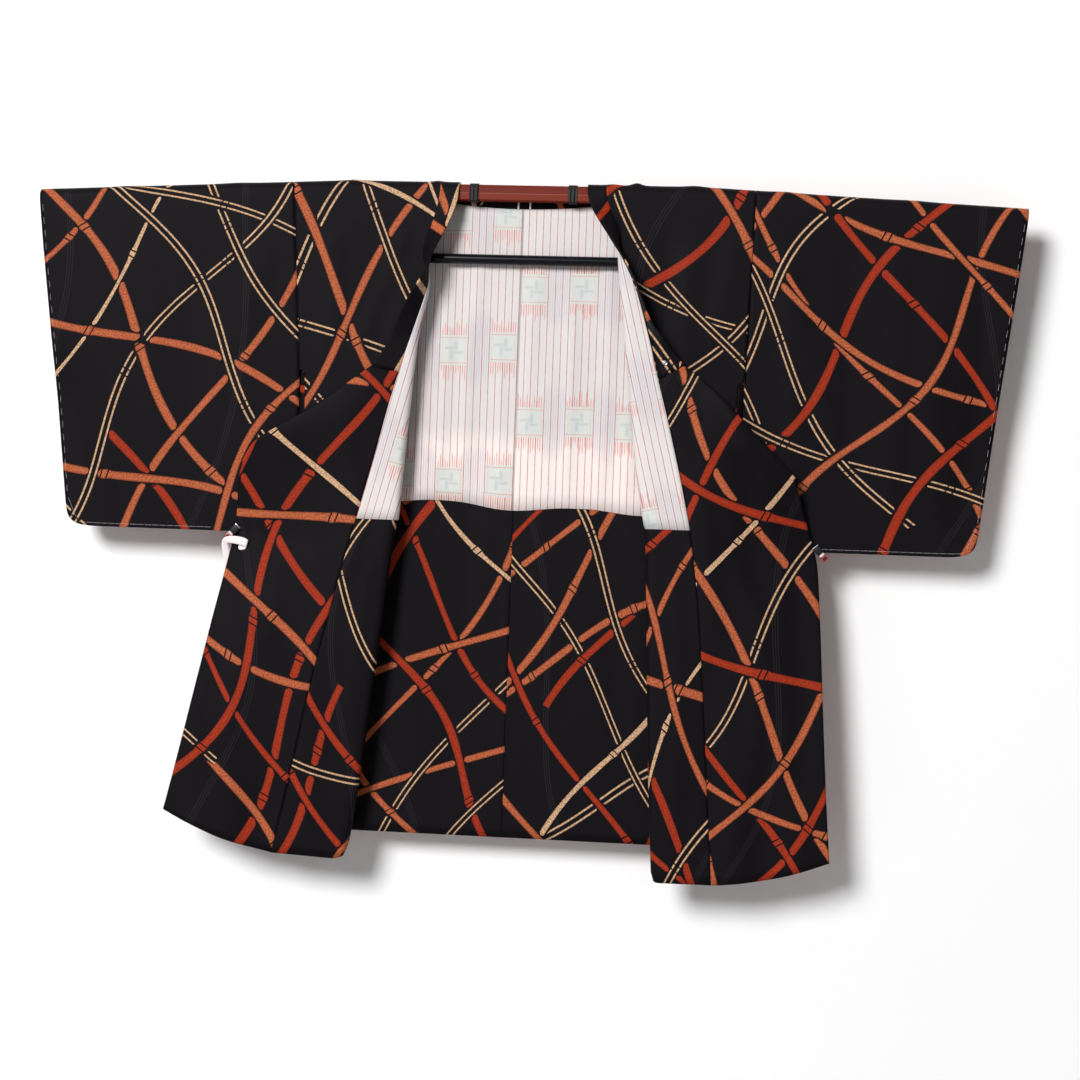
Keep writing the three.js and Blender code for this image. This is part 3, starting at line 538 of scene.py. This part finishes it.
def soft_copy(node, name, levels, let_out):
    """A smoothed copy of a cloth solid, let out by a little so that its seams meet."""
    mesh = nodes[node].data.copy()
    mesh.name = name
    mesh.materials.clear()
    bm = bmesh.new()
    bm.from_mesh(mesh)
    bmesh.ops.remove_doubles(bm, verts=bm.verts, dist=SAME_PLACE)
    bmesh.ops.join_triangles(bm, faces=bm.faces, angle_face_threshold=PAIR_BEND,
                             angle_shape_threshold=PAIR_SKEW)
    crease = bm.edges.layers.float.new("crease_edge")
    for edge in bm.edges:
        edge[crease] = 1.0 if edge.calc_face_angle(0.0) > RIM_ANGLE else 0.0
    quads = sum(len(face.verts) == 4 for face in bm.faces)
    others = len(bm.faces) - quads
    bm.to_mesh(mesh)
    bm.free()
    piece = add_object(name, mesh)
    rounding = piece.modifiers.new("rounding", "SUBSURF")
    rounding.levels = rounding.render_levels = levels
    depsgraph = bpy.context.evaluated_depsgraph_get()
    shaped = bpy.data.meshes.new_from_object(piece.evaluated_get(depsgraph))
    piece.modifiers.clear()
    piece.data = shaped
    shaped.name = name
    places, normals = corners_of(shaped), np.zeros(len(shaped.vertices) * 3)
    shaped.vertex_normals.foreach_get("vector", normals)
    put_corners(shaped, places + normals.reshape(-1, 3) * let_out)
    print(name, "quads", quads, "other", others, "->", len(shaped.polygons))
    return piece


# %% [markdown]
# ## Creases placed one by one
#
# Hung silk has a few long, soft troughs and ridges: under the shoulders, along the turned edges
# and down the flaps. A noise texture would give creases everywhere and of one size. Each crease
# here is a line from one place to another with its own half width and height, and the cloth
# moves towards or away from the viewer beside it. Bumps on the rod and waves of the lining's
# edge are placed in the same way, and two of the hem's corners are rounded, as a maker turns them.

# %% The creases
MM = 0.001  # shapes placed one by one are in mm
# x and z of both ends, half width and height, all in mm; plus is away from the coat's inside
FRONT_CREASES = [
    (-250, -40, -262, -230, 16, 1.8),
    (-205, -25, -190, -200, 22, -1.6),
    (-160, -30, -215, -235, 13, 1.7),
    (-230, -300, -205, -560, 17, 2.2),
    (-282, -330, -262, -640, 21, -2.4),
    (-330, -370, -312, -620, 15, 2.6),
    (-355, -480, -372, -800, 20, 2.4),
    (-300, -600, -326, -880, 23, -2.6),
    (-258, -560, -262, -900, 17, 2.4),
    (-190, -480, -206, -760, 12, 1.4),
    (-410, -600, -428, -850, 16, -2.0),
    (232, -60, 226, -235, 18, 1.8),
    (185, -30, 210, -180, 15, -1.5),
    (280, -40, 272, -220, 20, 1.4),
    (262, -262, 372, -420, 15, 3.2),
    (300, -330, 352, -560, 19, -2.6),
    (252, -300, 268, -620, 18, 2.4),
    (330, -520, 340, -880, 20, 2.5),
    (385, -470, 396, -830, 18, -2.3),
    (283, -600, 288, -900, 16, -2.0),
    (228, -480, 232, -880, 13, 1.5),
]
BACK_CREASES = [
    (-250, -60, -225, -820, 24, 1.8),
    (-140, -120, -120, -860, 20, -1.5),
    (-60, -300, -75, -860, 17, 1.3),
    (30, -180, 55, -700, 22, -1.4),
    (120, -90, 150, -840, 20, 1.6),
    (235, -60, 205, -800, 26, 1.8),
    (280, -300, 270, -860, 14, -1.4),
    (-5, -430, -5, -860, 5, -0.7),
]
LINING_CREASES = [  # the lining bags a little between the seams that hold it
    (-172, -150, -160, -423, 9, -1.8),
    (-138, -40, -128, -423, 10, -2.1),
    (-98, -130, -106, -423, 9, -1.7),
    (-58, -30, -70, -423, 11, -2.3),
    (-24, -200, -20, -423, 7, -1.4),
    (24, -40, 14, -380, 10, -1.8),
    (66, -100, 74, -423, 9, -2.1),
    (116, -40, 121, -423, 10, -2.3),
    (158, -180, 146, -423, 8, -1.6),
]
SLEEVE_CREASES = [
    (360, -30, 372, -430, 18, 1.5),
    (430, -20, 452, -445, 22, -1.6),
    (500, -40, 512, -440, 17, 1.4),
    (565, -30, 560, -455, 24, 1.8),
    (618, -90, 598, -440, 14, -1.3),
    (330, -60, 470, -420, 16, 0.9),
]
print("creases:", *map(len, (FRONT_CREASES, BACK_CREASES, LINING_CREASES, SLEEVE_CREASES)))

# %% Moving the cloth
# the cloth stands up from the rod a little here and there: x, half width and height in mm
TOP_BUMPS = [(153, 8, 3.6), (121, 11, 1.3), (-118, 9, 1.5), (-232, 13, 1.3), (-395, 22, 0.9),
             (231, 15, 1.4), (352, 18, 1.0), (520, 26, 0.8), (-548, 20, 0.8)]
ROD_LEVEL = 0.2404  # half the length of the rod's level middle
DROOP = math.tan(math.radians(2.7))  # the rod's arms lean down by this beyond its middle


def below_rod(x, z):
    """How far a place is below the rod's axis, whose arms droop."""
    return -np.maximum(0, np.abs(x) - ROD_LEVEL) * DROOP - z


def creased(x, z, creases):
    """How far the cloth moves out at each place, in metres."""
    out = np.zeros(len(x))
    for x0, z0, x1, z1, half_width, height in creases:
        start = np.array((x0, z0)) * MM
        way = np.array((x1 - x0, z1 - z0)) * MM
        length = np.hypot(*way)
        way /= length
        along = (x - start[0]) * way[0] + (z - start[1]) * way[1]
        off = (x - start[0]) * way[1] - (z - start[1]) * way[0]
        bend = 0.35 * half_width * MM * np.sin(along / length * 5.0 + x0)  # it sways a little
        end = np.clip(np.minimum(along, length - along) / (0.30 * length) + 0.25, 0, 1)
        end = end * end * (3 - 2 * end)  # it fades at both ends
        out += height * MM * end * np.exp(-(((off - bend) / (half_width * MM)) ** 2))
    return out


def settle(piece, front, behind, mirrored=False, ripple=0.0):
    """Moves a piece's cloth along Y: its front side by one table, its back side by the other."""
    places = corners_of(piece.data)
    x, z = (-places[:, 0] if mirrored else places[:, 0]), places[:, 2]
    hang = np.clip((-z - 0.02) / 0.05, 0, 1)  # no creases on the rod itself
    low = np.clip((-z - 0.45) / 0.40, 0, 1) ** 2  # the ripple grows towards the hem
    wave = ripple * low * (np.sin(x * 46 + 1.0) + 0.6 * np.sin(x * 83 + 2.3 + z * 9))
    is_front = places[:, 1] < 0
    move = np.where(is_front, -creased(x, z, front), creased(x, z, behind)) * hang
    move += np.where(is_front, -wave, wave)
    on_top = np.clip((0.012 - below_rod(places[:, 0], z)) / 0.024, 0, 1) ** 2  # 0 under the rod
    for middle, half_width, height in TOP_BUMPS:
        bump = np.exp(-(((places[:, 0] / MM - middle) / half_width) ** 2))
        places[:, 2] += height * MM * on_top * bump
    places[:, 1] += move
    put_corners(piece.data, places)
    return float(np.abs(move).max())


# %% The lining's lower edge
# the lining's lower edge rises and dips a little: x, half width and rise in mm
LINING_WAVES = [(-105, 90, 5.5), (0, 75, -5.5), (175, 80, -6.8)]


def wave_hem(piece, waves, reach=0.070):
    """Lets a lower edge rise and dip, and the cloth above it less and less so."""
    places = corners_of(piece.data)
    x, low = places[:, 0] / MM, places[:, 2].min()
    near = np.clip(1 - (places[:, 2] - low) / reach, 0, 1) ** 2
    for middle, half_width, rise in waves:
        off = np.clip(np.abs(x - middle) / half_width, 0, 1)
        places[:, 2] += rise * MM * near * (1 + np.cos(np.pi * off)) / 2
    put_corners(piece.data, places)


# %% A rounded corner
HEM_ZONE, EDGE_ZONE = 0.030, 0.004  # how near a corner's vertices are to its two edges


def round_corner(piece, radius, towards):
    """Rounds a hem's corner: the square beside it is squeezed into a quarter disc."""
    places = corners_of(piece.data)
    low = places[:, 2].min()
    tip = places[places[:, 2] < low + HEM_ZONE]
    edge = towards * (tip[:, 0] * towards).max()
    foot = tip[np.abs(tip[:, 0] - edge) < EDGE_ZONE][:, 2].min()
    middle = np.array((edge - towards * radius, foot + radius))
    off_x = (places[:, 0] - middle[0]) * towards
    off_z = middle[1] - places[:, 2]
    there = (off_x > 0) & (off_z > 0)
    reach = np.maximum(np.maximum(off_x, off_z), 1e-9)
    share = np.where(there, reach / np.maximum(np.hypot(off_x, off_z), 1e-9), 1.0)
    share = 1 - (1 - share) * np.clip(reach / radius, 0, 1)
    places[:, 0] = np.where(there, middle[0] + towards * off_x * share, places[:, 0])
    places[:, 2] = np.where(there, middle[1] - off_z * share, places[:, 2])
    put_corners(piece.data, places)


# %% [markdown]
# ## The map on the cloth
#
# The print has to run straight along each length of cloth and jump where two lengths are sewn
# together, as it does on a real coat. So every piece gets its own map: across the piece, and
# along it over the rod, then turned and shifted by its own amount.

# %% Laying the map on a piece
BEND = 0.0128  # radius of the cloth's bend over the rod
QUARTER = 0.0201  # length of cloth in a quarter of that bend


def lay_map(piece, shift, turn, over_rod=True):
    """Writes the UV map 'cloth', in metres across and along the piece."""
    mesh = piece.data
    co = corners_of(mesh)
    across, up = co[:, 0].copy(), co[:, 2].copy()
    if over_rod:
        droop = below_rod(across, 0.0)
        angle = np.arctan2(co[:, 1], np.maximum(up - droop, 0) + 1e-6)
        over = np.where(up > droop, angle * BEND, np.where(co[:, 1] > 0, QUARTER, -QUARTER))
        rise = np.where(up > droop, 0.0, up - droop)
        up = droop + QUARTER + over + np.where(co[:, 1] > 0, -rise, rise)
    cos, sin = math.cos(math.radians(turn)), math.sin(math.radians(turn))
    u = across * cos + up * sin + shift[0]
    v = up * cos - across * sin + shift[1]
    layer = mesh.uv_layers.new(name="cloth")
    corner = np.zeros(len(mesh.loops), dtype=np.int32)
    mesh.loops.foreach_get("vertex_index", corner)
    pairs = np.stack((u[corner], v[corner]), axis=1).astype(np.float32)
    layer.data.foreach_set("uv", pairs.ravel())


def finish_cloth(piece, node, material):
    """Gives a cloth piece its material and its body, and hides the solid it follows."""
    piece.data.materials.clear()
    piece.data.materials.append(material)
    piece.data.shade_smooth()
    piece.data.set_sharp_from_angle(angle=math.radians(50))
    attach(piece, "root")
    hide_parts(node)

# %% [markdown]
# ## The coat, piece by piece
#
# Every row of the table below is one piece of the coat as a maker cuts it: which solid it
# follows, how finely it is rounded, how its print is turned and shifted, and the size of the
# cloth it was cut from. A loop over a table keeps the pieces alike and easy to change.

# %% The table of silk pieces
# the creases on a piece's front and on its back
BODY, SLEEVE = (FRONT_CREASES, BACK_CREASES), (SLEEVE_CREASES, SLEEVE_CREASES)
FLAP, PLAIN = (FRONT_CREASES, FRONT_CREASES), ([], [])
# node: levels, print shift across and along, print turn, creases, ripple,
#       width and length of the cut, its flat area, what it rests on
SILK = {
    "body_left": (3, (0.11, 0.37), 0, BODY, 0, (0.36, 1.82), 0.446, ROD_PARTS),
    "body_right": (3, (0.83, 0.12), 0, BODY, 0, (0.36, 1.83), 0.451, ROD_PARTS),
    "sleeve_left": (3, (2.31, 0.64), 0, SLEEVE, 0, (0.37, 0.96), 0.327, ROD_PARTS),
    "sleeve_right": (3, (3.07, 0.22), 0, SLEEVE, 0, (0.36, 0.96), 0.321, ROD_PARTS),
    "overlap_left": (3, (1.53, 0.91), 6, FLAP, 0.0022, (0.32, 0.70), 0.103, ["body_left"]),
    "overlap_right": (3, (4.29, 0.45), -4, FLAP, 0.0022, (0.29, 0.72), 0.104, ["body_right"]),
    "gusset_left": (2, (5.10, 0.30), 0, PLAIN, 0, (0.09, 0.64), 0.0350, ["body_left"]),
    "gusset_right": (2, (5.90, 0.70), 0, PLAIN, 0, (0.09, 0.64), 0.0352, ["body_right"]),
    "collar": (2, (6.40, 0.15), 12, BODY, 0, (0.045, 0.80), 0.0224, ROD_PARTS),
}
print(len(SILK), "silk pieces with", round(sum(row[-2] for row in SILK.values()), 2), "m2 of silk")

# %% The silk pieces
dressed = {}
for node, (levels, shift, turn, creases, ripple, flat, area, rests_on) in SILK.items():
    piece = soft_copy(node, f"{node}_silk", levels, SEAM_EASE)
    lay_map(piece, shift, turn)
    deepest = settle(piece, *creases, mirrored=node == "sleeve_left", ripple=ripple)
    finish_cloth(piece, node, silk)
    dressed[node] = piece
    print(" ", node, "creases to", round(deepest * 1000, 1), "mm")

# %% The lining pieces
# node: silk, map shift across and along, map turn, width and length of the cut, its flat area,
#       what it rests on
LININGS = {
    "lining_back_left": (back_lining, (0.0555, 0.113), 0, (0.312, 0.411), 0.1214, "body_left"),
    "lining_back_right": (back_lining, (0.0165, 0.034), 0, (0.312, 0.411), 0.1241, "body_right"),
    "lining_front_left": (front_lining, (0.02, 0.10), -14, (0.060, 0.350), 0.0124, "body_left"),
    "lining_front_right": (front_lining, (0.03, 0.02), 14, (0.080, 0.380), 0.0194, "body_right"),
}

for node, (lining, shift, turn, flat, area, rests_on) in LININGS.items():
    piece = soft_copy(node, f"{node}_cloth", 2, SEAM_EASE / 2)
    lay_map(piece, shift, turn, over_rod=False)
    deepest = settle(piece, FRONT_CREASES, BACK_CREASES + LINING_CREASES)
    if lining == back_lining:
        wave_hem(piece, LINING_WAVES)
    finish_cloth(piece, node, lining)
    print(" ", node, "creases to", round(deepest * 1000, 1), "mm")

# %% Two rounded corners
# radius of the hem's corner, and the side of the piece that it is on
ROUNDED = {"body_left": (0.022, 1), "body_right": (0.012, -1)}

for node, (radius, towards) in ROUNDED.items():
    round_corner(dressed[node], radius, towards)
    print(node, "corner rounded by", round(radius * 1000), "mm")

# %% [markdown]
# ## Clips at the armholes
#
# A small spring clip holds each flap to its sleeve: a black thumb plate with a steel end, a
# steel roll with a pale pad, and red lips. It could be one carved block, but a real clip is
# stamped from strips, so every strip is its own bevelled box in the clip's own frame, and the
# whole clip is then turned and moved into place.

# %% One clip from strips
CLIP_FINISHES = ["clip_black", "stud_steel", "clip_lip", "clip_pad"]
# across, through and along the clip, each from and to in mm, which finish, and the rounding
CLIP_STRIPS = [
    ((-3.9, 3.9), (-12.9, -11.6), (0.8, 13.0), 0, 0.3),
    ((-4.6, 4.6), (-13.6, -11.4), (0.0, 1.3), 1, 0.3),
    ((-4.6, -3.8), (-13.4, -11.4), (0.6, 13.0), 0, 0.2),
    ((3.8, 4.6), (-13.4, -11.4), (0.6, 13.0), 0, 0.2),
    ((-4.5, 4.5), (-14.2, -10.0), (12.4, 16.8), 1, 1.5),
    ((-4.3, 4.3), (-12.2, -9.8), (16.8, 23.8), 2, 0.4),
    ((-3.4, 3.4), (-14.6, -13.8), (13.2, 16.0), 3, 0.3),
    ((-2.7, 2.7), (-12.6, -12.0), (18.4, 22.4), 0, 0.2),
    ((-2.2, 2.2), (-10.2, 3.6), (13.4, 16.4), 0, 0.3),
    ((-4.3, 4.3), (3.2, 4.8), (1.0, 23.8), 0, 0.4),
]
print(len(CLIP_STRIPS), "strips in a clip")


def mesh_from(bm, name, *materials):
    """A new mesh with what a bmesh holds, and with materials; the bmesh is freed."""
    mesh = bpy.data.meshes.new(name)
    bm.to_mesh(mesh)
    bm.free()
    for material in materials:
        mesh.materials.append(material)
    return mesh


def clip_strip(across, through, along, finish, rounding):
    bm = bmesh.new()
    bmesh.ops.create_cube(bm, size=1.0)
    spans = (across, through, along)
    bmesh.ops.scale(bm, vec=[(high - low) * MM for low, high in spans], verts=bm.verts)
    bmesh.ops.translate(bm, vec=[(high + low) / 2 * MM for low, high in spans], verts=bm.verts)
    bmesh.ops.bevel(bm, geom=bm.edges[:], offset=rounding * MM, segments=3, profile=0.5,
                    affect="EDGES", material=-1)
    for face in bm.faces:
        face.material_index = finish
    return mesh_from(bm, "clip_strip")


# %% The two clips
CLIP_PLACES = {  # thumb end and jaws, as x and z in mm
    "flap_clip_left": ((-374.2, -462.4), (-390.6, -480.3)),
    "flap_clip_right": ((407.1, -462.6), (423.4, -481.0)),
}


def spring_clip(node, thumb, jaws):
    bm = bmesh.new()
    for row in CLIP_STRIPS:
        mesh = clip_strip(*row)
        bm.from_mesh(mesh)
        bpy.data.meshes.remove(mesh)
    run = Vector((jaws[0] - thumb[0], 0.0, jaws[1] - thumb[1])).normalized()
    axes = Matrix(((run.z, 0.0, -run.x), (0.0, 1.0, 0.0), run)).transposed().to_4x4()
    start = Matrix.Translation((thumb[0] * MM, 0.0, thumb[1] * MM))
    bmesh.ops.transform(bm, matrix=start @ axes, verts=bm.verts)
    mesh = mesh_from(bm, f"{node}_strips", *[finishes[name] for name in CLIP_FINISHES])
    mesh.shade_smooth()
    mesh.set_sharp_from_angle(angle=math.radians(40))
    piece = add_object(mesh.name, mesh)
    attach(piece, "root")
    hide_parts(node)
    return piece


for node, (thumb, jaws) in CLIP_PLACES.items():
    made = spring_clip(node, thumb, jaws)
    print(made.name, len(made.data.polygons), "faces")

# %% [markdown]
# ## The inner tie
#
# A short white tape comes out of the coat's side, is caught in the left clip's jaws, and flops
# over to one side. A ribbon is simplest as one edge that is extruded from place to place: each
# row of the table gives both of its edges, so the tape keeps its width while it folds.

# %% The tape's rows
# both edges of the tape, each as x, y, z in mm, from its sewn end to its loose end
TAPE_ROWS = [
    ((-389.0, -3.0, -541.0), (-379.0, -3.0, -540.0)),
    ((-392.5, -4.0, -520.0), (-382.5, -4.0, -519.0)),
    ((-396.0, -6.5, -500.0), (-386.0, -6.0, -500.0)),
    ((-397.5, -10.5, -488.0), (-388.0, -11.0, -487.0)),
    ((-394.5, -14.2, -480.0), (-388.0, -13.6, -486.5)),
    ((-387.0, -15.5, -476.5), (-384.5, -14.8, -486.5)),
    ((-377.0, -17.5, -476.5), (-377.5, -16.5, -487.0)),
    ((-366.5, -18.5, -477.5), (-369.0, -18.0, -488.5)),
    ((-358.5, -18.8, -480.5), (-361.5, -18.5, -491.0)),
    ((-358.0, -16.6, -483.0), (-361.0, -16.4, -493.5)),
    ((-364.0, -14.6, -485.5), (-367.0, -14.4, -496.0)),
    ((-371.0, -13.8, -485.0), (-374.0, -13.6, -495.0)),
]
print(len(TAPE_ROWS), "rows of the tape")


def tape_mesh():
    bm = bmesh.new()
    ends = [bm.verts.new([c * MM for c in place]) for place in TAPE_ROWS[0]]
    edge = bm.edges.new(ends)
    for row in TAPE_ROWS[1:]:
        grown = bmesh.ops.extrude_edge_only(bm, edges=[edge])["geom"]
        edge = next(item for item in grown if isinstance(item, bmesh.types.BMEdge))
        left = min(edge.verts, key=lambda vert: (vert.co - ends[0].co).length)
        ends = [left, edge.other_vert(left)]
        for vert, place in zip(ends, row):
            vert.co = [c * MM for c in place]
    bmesh.ops.recalc_face_normals(bm, faces=bm.faces)
    return mesh_from(bm, "inner_tie_tape", finishes["tie_white"])


# %% The tape
TAPE_THICKNESS = 0.0008

tie = add_object("inner_tie_tape", tape_mesh())
rounding = tie.modifiers.new("rounding", "SUBSURF")
rounding.levels = rounding.render_levels = 2
thickness = tie.modifiers.new("thickness", "SOLIDIFY")
thickness.thickness, thickness.offset = TAPE_THICKNESS, 0.0
tie.data.shade_smooth()
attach(tie, "root")
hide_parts("inner_tie_left")

# %% [markdown]
# ## The snap stud
#
# One half of a press fastener is sewn near the end of the right collar: a round base with a
# raised rim and a small ball. A turned part like this is a profile of a few points, spun once
# round its axis, with the seam merged.

# %% The stud's profile, spun
# distance from the axis and height above the cloth, in mm
STUD_PROFILE = [(0.0, 2.2), (0.8, 2.0), (1.2, 1.5), (1.1, 0.8), (2.1, 0.6), (2.5, 1.1), (3.0, 1.1),
                (3.3, 0.6), (3.3, 0.0)]
STUD_PLACE = (200.8, -226.0)  # x and z, in mm
FAR = 0.3  # a line along Y starts this far off


def tree_of(piece):
    """A piece's faces, ready to be met by lines."""
    return BVHTree.FromObject(piece, bpy.context.evaluated_depsgraph_get())


def met(tree, x, z, side):
    """Where a line along Y first meets a piece: from the front (-1) or from behind (1)."""
    return tree.ray_cast(Vector((x, FAR * side, z)), Vector((0, -side, 0)))[0]


def stud_mesh(name, x, y, z):
    bm = bmesh.new()
    points = [bm.verts.new((r * MM, -h * MM, 0)) for r, h in STUD_PROFILE]
    for ends in pairwise(points):
        bm.edges.new(ends)
    bmesh.ops.spin(bm, geom=bm.verts[:] + bm.edges[:], cent=(0, 0, 0), axis=(0, 1, 0),
                   angle=math.tau, steps=32, use_merge=True)
    bmesh.ops.remove_doubles(bm, verts=bm.verts, dist=SAME_PLACE)
    bmesh.ops.recalc_face_normals(bm, faces=bm.faces)
    bmesh.ops.translate(bm, vec=(x, y, z), verts=bm.verts)
    mesh = mesh_from(bm, name, finishes["stud_steel"])
    mesh.shade_smooth()
    return mesh


stud_x, stud_z = (v * MM for v in STUD_PLACE)
seats = [met(tree_of(dressed[name]), stud_x, stud_z, -1.0)
         for name in ("collar", "overlap_right", "body_right")]
stud_y = min(seat.y for seat in seats if seat is not None)
stud = add_object("snap_stud_turned", stud_mesh("snap_stud_turned", stud_x, stud_y, stud_z))
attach(stud, "root")
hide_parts("snap_stud")
print("stud on cloth at y", round(stud_y * 1000, 1))

# %% [markdown]
# ## Basting stitches
#
# Long white running stitches still hold the edges of the sleeves: down each cuff, once across
# the rounded corner, and along the bottom. They could be a dashed line in the print, but thread
# lies on the cloth and catches light, so each stitch is a short thin tube. A line along Y finds
# the cloth's face under both of its ends.

# %% The basting's measures
STITCH, THREAD = 0.0092, 0.00021  # a stitch's length and its radius
GAPS = {"cuff": 0.0176 - STITCH, "corner": 0.0003, "bottom": 0.0012}
INSET = 0.0045  # how far the stitches lie inside the sleeve's edge
CUFF_FROM = -0.030  # height where the cuff's stitches start
ABOVE, BESIDE = 0.030, 0.016  # how far the rows stop above and beside the rounded corner
BOTTOM_TO = 0.405  # the bottom row stops this far from the coat's middle
STEP, NEAR = 0.012, 0.007  # an edge is read this often, from the vertices this near
print("gaps in mm:", {part: round(gap * 1000, 1) for part, gap in GAPS.items()})


# %% Stitches along a sleeve
def sleeve_edges(piece, side):
    """The cuff's edge from top to bottom, and the bottom edge from the cuff inwards."""
    places = corners_of(piece.data)
    x, z = places[:, 0] * side, places[:, 2]
    cuff = []
    for height in np.arange(CUFF_FROM, z.min() + ABOVE, -STEP):
        near = np.abs(z - height) < NEAR
        cuff.append((side * (x[near].max() - INSET), height))
    bottom = []
    for reach in np.arange(abs(cuff[-1][0]) - BESIDE, BOTTOM_TO, -STEP):
        near = np.abs(x - reach) < NEAR
        bottom.append((side * reach, z[near].min() + INSET))
    (cuff_x, cuff_z), (bottom_x, bottom_z) = cuff[-1], bottom[0]
    corner = [(cuff_x, cuff_z + 0.006), (bottom_x + side * 0.002, bottom_z + 0.001)]
    return {"cuff": cuff, "corner": corner, "bottom": bottom}


def stitch_row(bm, tree, route, side, gap):
    """Lays tubes along a route, on the front (-1) or the back (1); returns how many."""
    points = [Vector((x, 0.0, z)) for x, z in route]
    spans = [(b - a).length for a, b in pairwise(points)]

    def at(distance):
        for a, b, span in zip(points, points[1:], spans):
            if distance <= span:
                return a.lerp(b, distance / span)
            distance -= span
        return points[-1]

    count, start = 0, 0.0
    while start + STITCH < sum(spans):
        ends = []
        for distance in (start, start + STITCH):
            flat = at(distance)
            hit = met(tree, flat.x, flat.z, side)
            if hit is not None:
                ends.append(hit + Vector((0, side * THREAD * 0.5, 0)))
        if len(ends) == 2:
            way = ends[1] - ends[0]
            turn = way.to_track_quat("Z", "Y").to_matrix().to_4x4()
            place = Matrix.Translation((ends[0] + ends[1]) / 2) @ turn
            bmesh.ops.create_cone(bm, cap_ends=True, segments=6, radius1=THREAD, radius2=THREAD,
                                  depth=way.length, matrix=place)
            count += 1
        start += STITCH + gap
    return count


# %% All the basting
for node, end in (("sleeve_left", -1.0), ("sleeve_right", 1.0)):
    edges = sleeve_edges(dressed[node], end)
    tree = tree_of(dressed[node])
    bm = bmesh.new()
    laid = 0
    for side in (-1.0, 1.0):
        for part, gap in GAPS.items():
            laid += stitch_row(bm, tree, edges[part], side, gap)
    mesh = mesh_from(bm, f"{node}_basting", finishes["white_thread"])
    basting = add_object(mesh.name, mesh)
    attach(basting, "root")
    print(basting.name, laid, "stitches")

# %% [markdown]
# ## Floor, backdrop and light
#
# The coat hangs a few centimetres in front of a white wall, so its shadow falls below it and to
# the right. One large light at the upper left gives that shadow, a weak one from the right keeps
# the cloth's far sides readable, and a dim world fills the rest. A wall behind the viewer could
# do that too, but a world costs nothing. The floor is darker, so that it throws less light up.
# Wall and floor are there from their front only, so the coat can be looked at from behind, and
# the wall casts no shadow, so that a light behind it reaches the coat's back.

# %% The stage
WALL_Y, FLOOR_Z = 0.062, -1.32
WALL_HALF, FLOOR_HALF = (5, 3.5), (7, 7)  # half their width and height


def stage_sheet(name, half_size, place, material):
    bm = bmesh.new()
    bmesh.ops.create_grid(bm, x_segments=1, y_segments=1, size=1.0)
    bmesh.ops.scale(bm, vec=(*half_size, 1), verts=bm.verts)
    bmesh.ops.transform(bm, matrix=place, verts=bm.verts)
    made = add_object(name, mesh_from(bm, name, material))
    return made


def one_sided_paint(name, lightness):
    """A paint that is there from its sheet's front only."""
    pen = Pen(name)
    from_behind = pen.node("NewGeometry", {})["Backfacing"]
    clear = pen.node("BsdfTransparent", {})[0]
    seen = pen.node("MixShader", {0: from_behind, 1: pen.shader.outputs[0], 2: clear})[0]
    pen.feed(pen.tree.nodes["Material Output"].inputs[0], seen)
    return pen.look((lightness, lightness, lightness, 1), 0.9, 0.0)


standing = Matrix.Translation((0, WALL_Y, 0)) @ Matrix.Rotation(math.radians(90), 4, "X")
standing = standing @ Matrix.Translation((0, WALL_HALF[1] + FLOOR_Z, 0))
wall = stage_sheet("wall", WALL_HALF, standing, one_sided_paint("wall_paint", 0.98))
wall.visible_shadow = False
stage_sheet("floor", FLOOR_HALF, Matrix.Translation((0, 0, FLOOR_Z)),
            one_sided_paint("floor_paint", 0.30))
print("wall at y", WALL_Y, "and floor at z", FLOOR_Z)

# %% The lights
# place, diameter and power
LIGHTS = {
    "key": ((-3.2, -7.2, 3.0), 3.0, 750),
    "fill": ((1.8, -5.0, -0.3), 2.6, 7),
    "back_light": ((1.6, 3.8, 1.6), 2.0, 230),
}
LIT = Vector((0.0, 0.0, -0.45))  # where they all point
WORLD_POWER = 0.155

for name, (place, size, power) in LIGHTS.items():
    data = bpy.data.lights.new(name, "AREA")
    data.shape = "DISK"
    data.size = size
    data.energy = power
    light = add_object(name, data)
    light.location = place
    light.rotation_mode = "QUATERNION"
    light.rotation_quaternion = (LIT - Vector(place)).to_track_quat("-Z", "Y")
    print(name, power, "W")
world = bpy.data.worlds.new("studio")
world.use_nodes = True
background = world.node_tree.nodes["Background"]
background.inputs["Color"].default_value = (1, 1, 1, 1)
background.inputs["Strength"].default_value = WORLD_POWER
bpy.context.scene.world = world
bpy.context.scene.view_settings.view_transform = "Standard"  # dyed cloth keeps its own colours
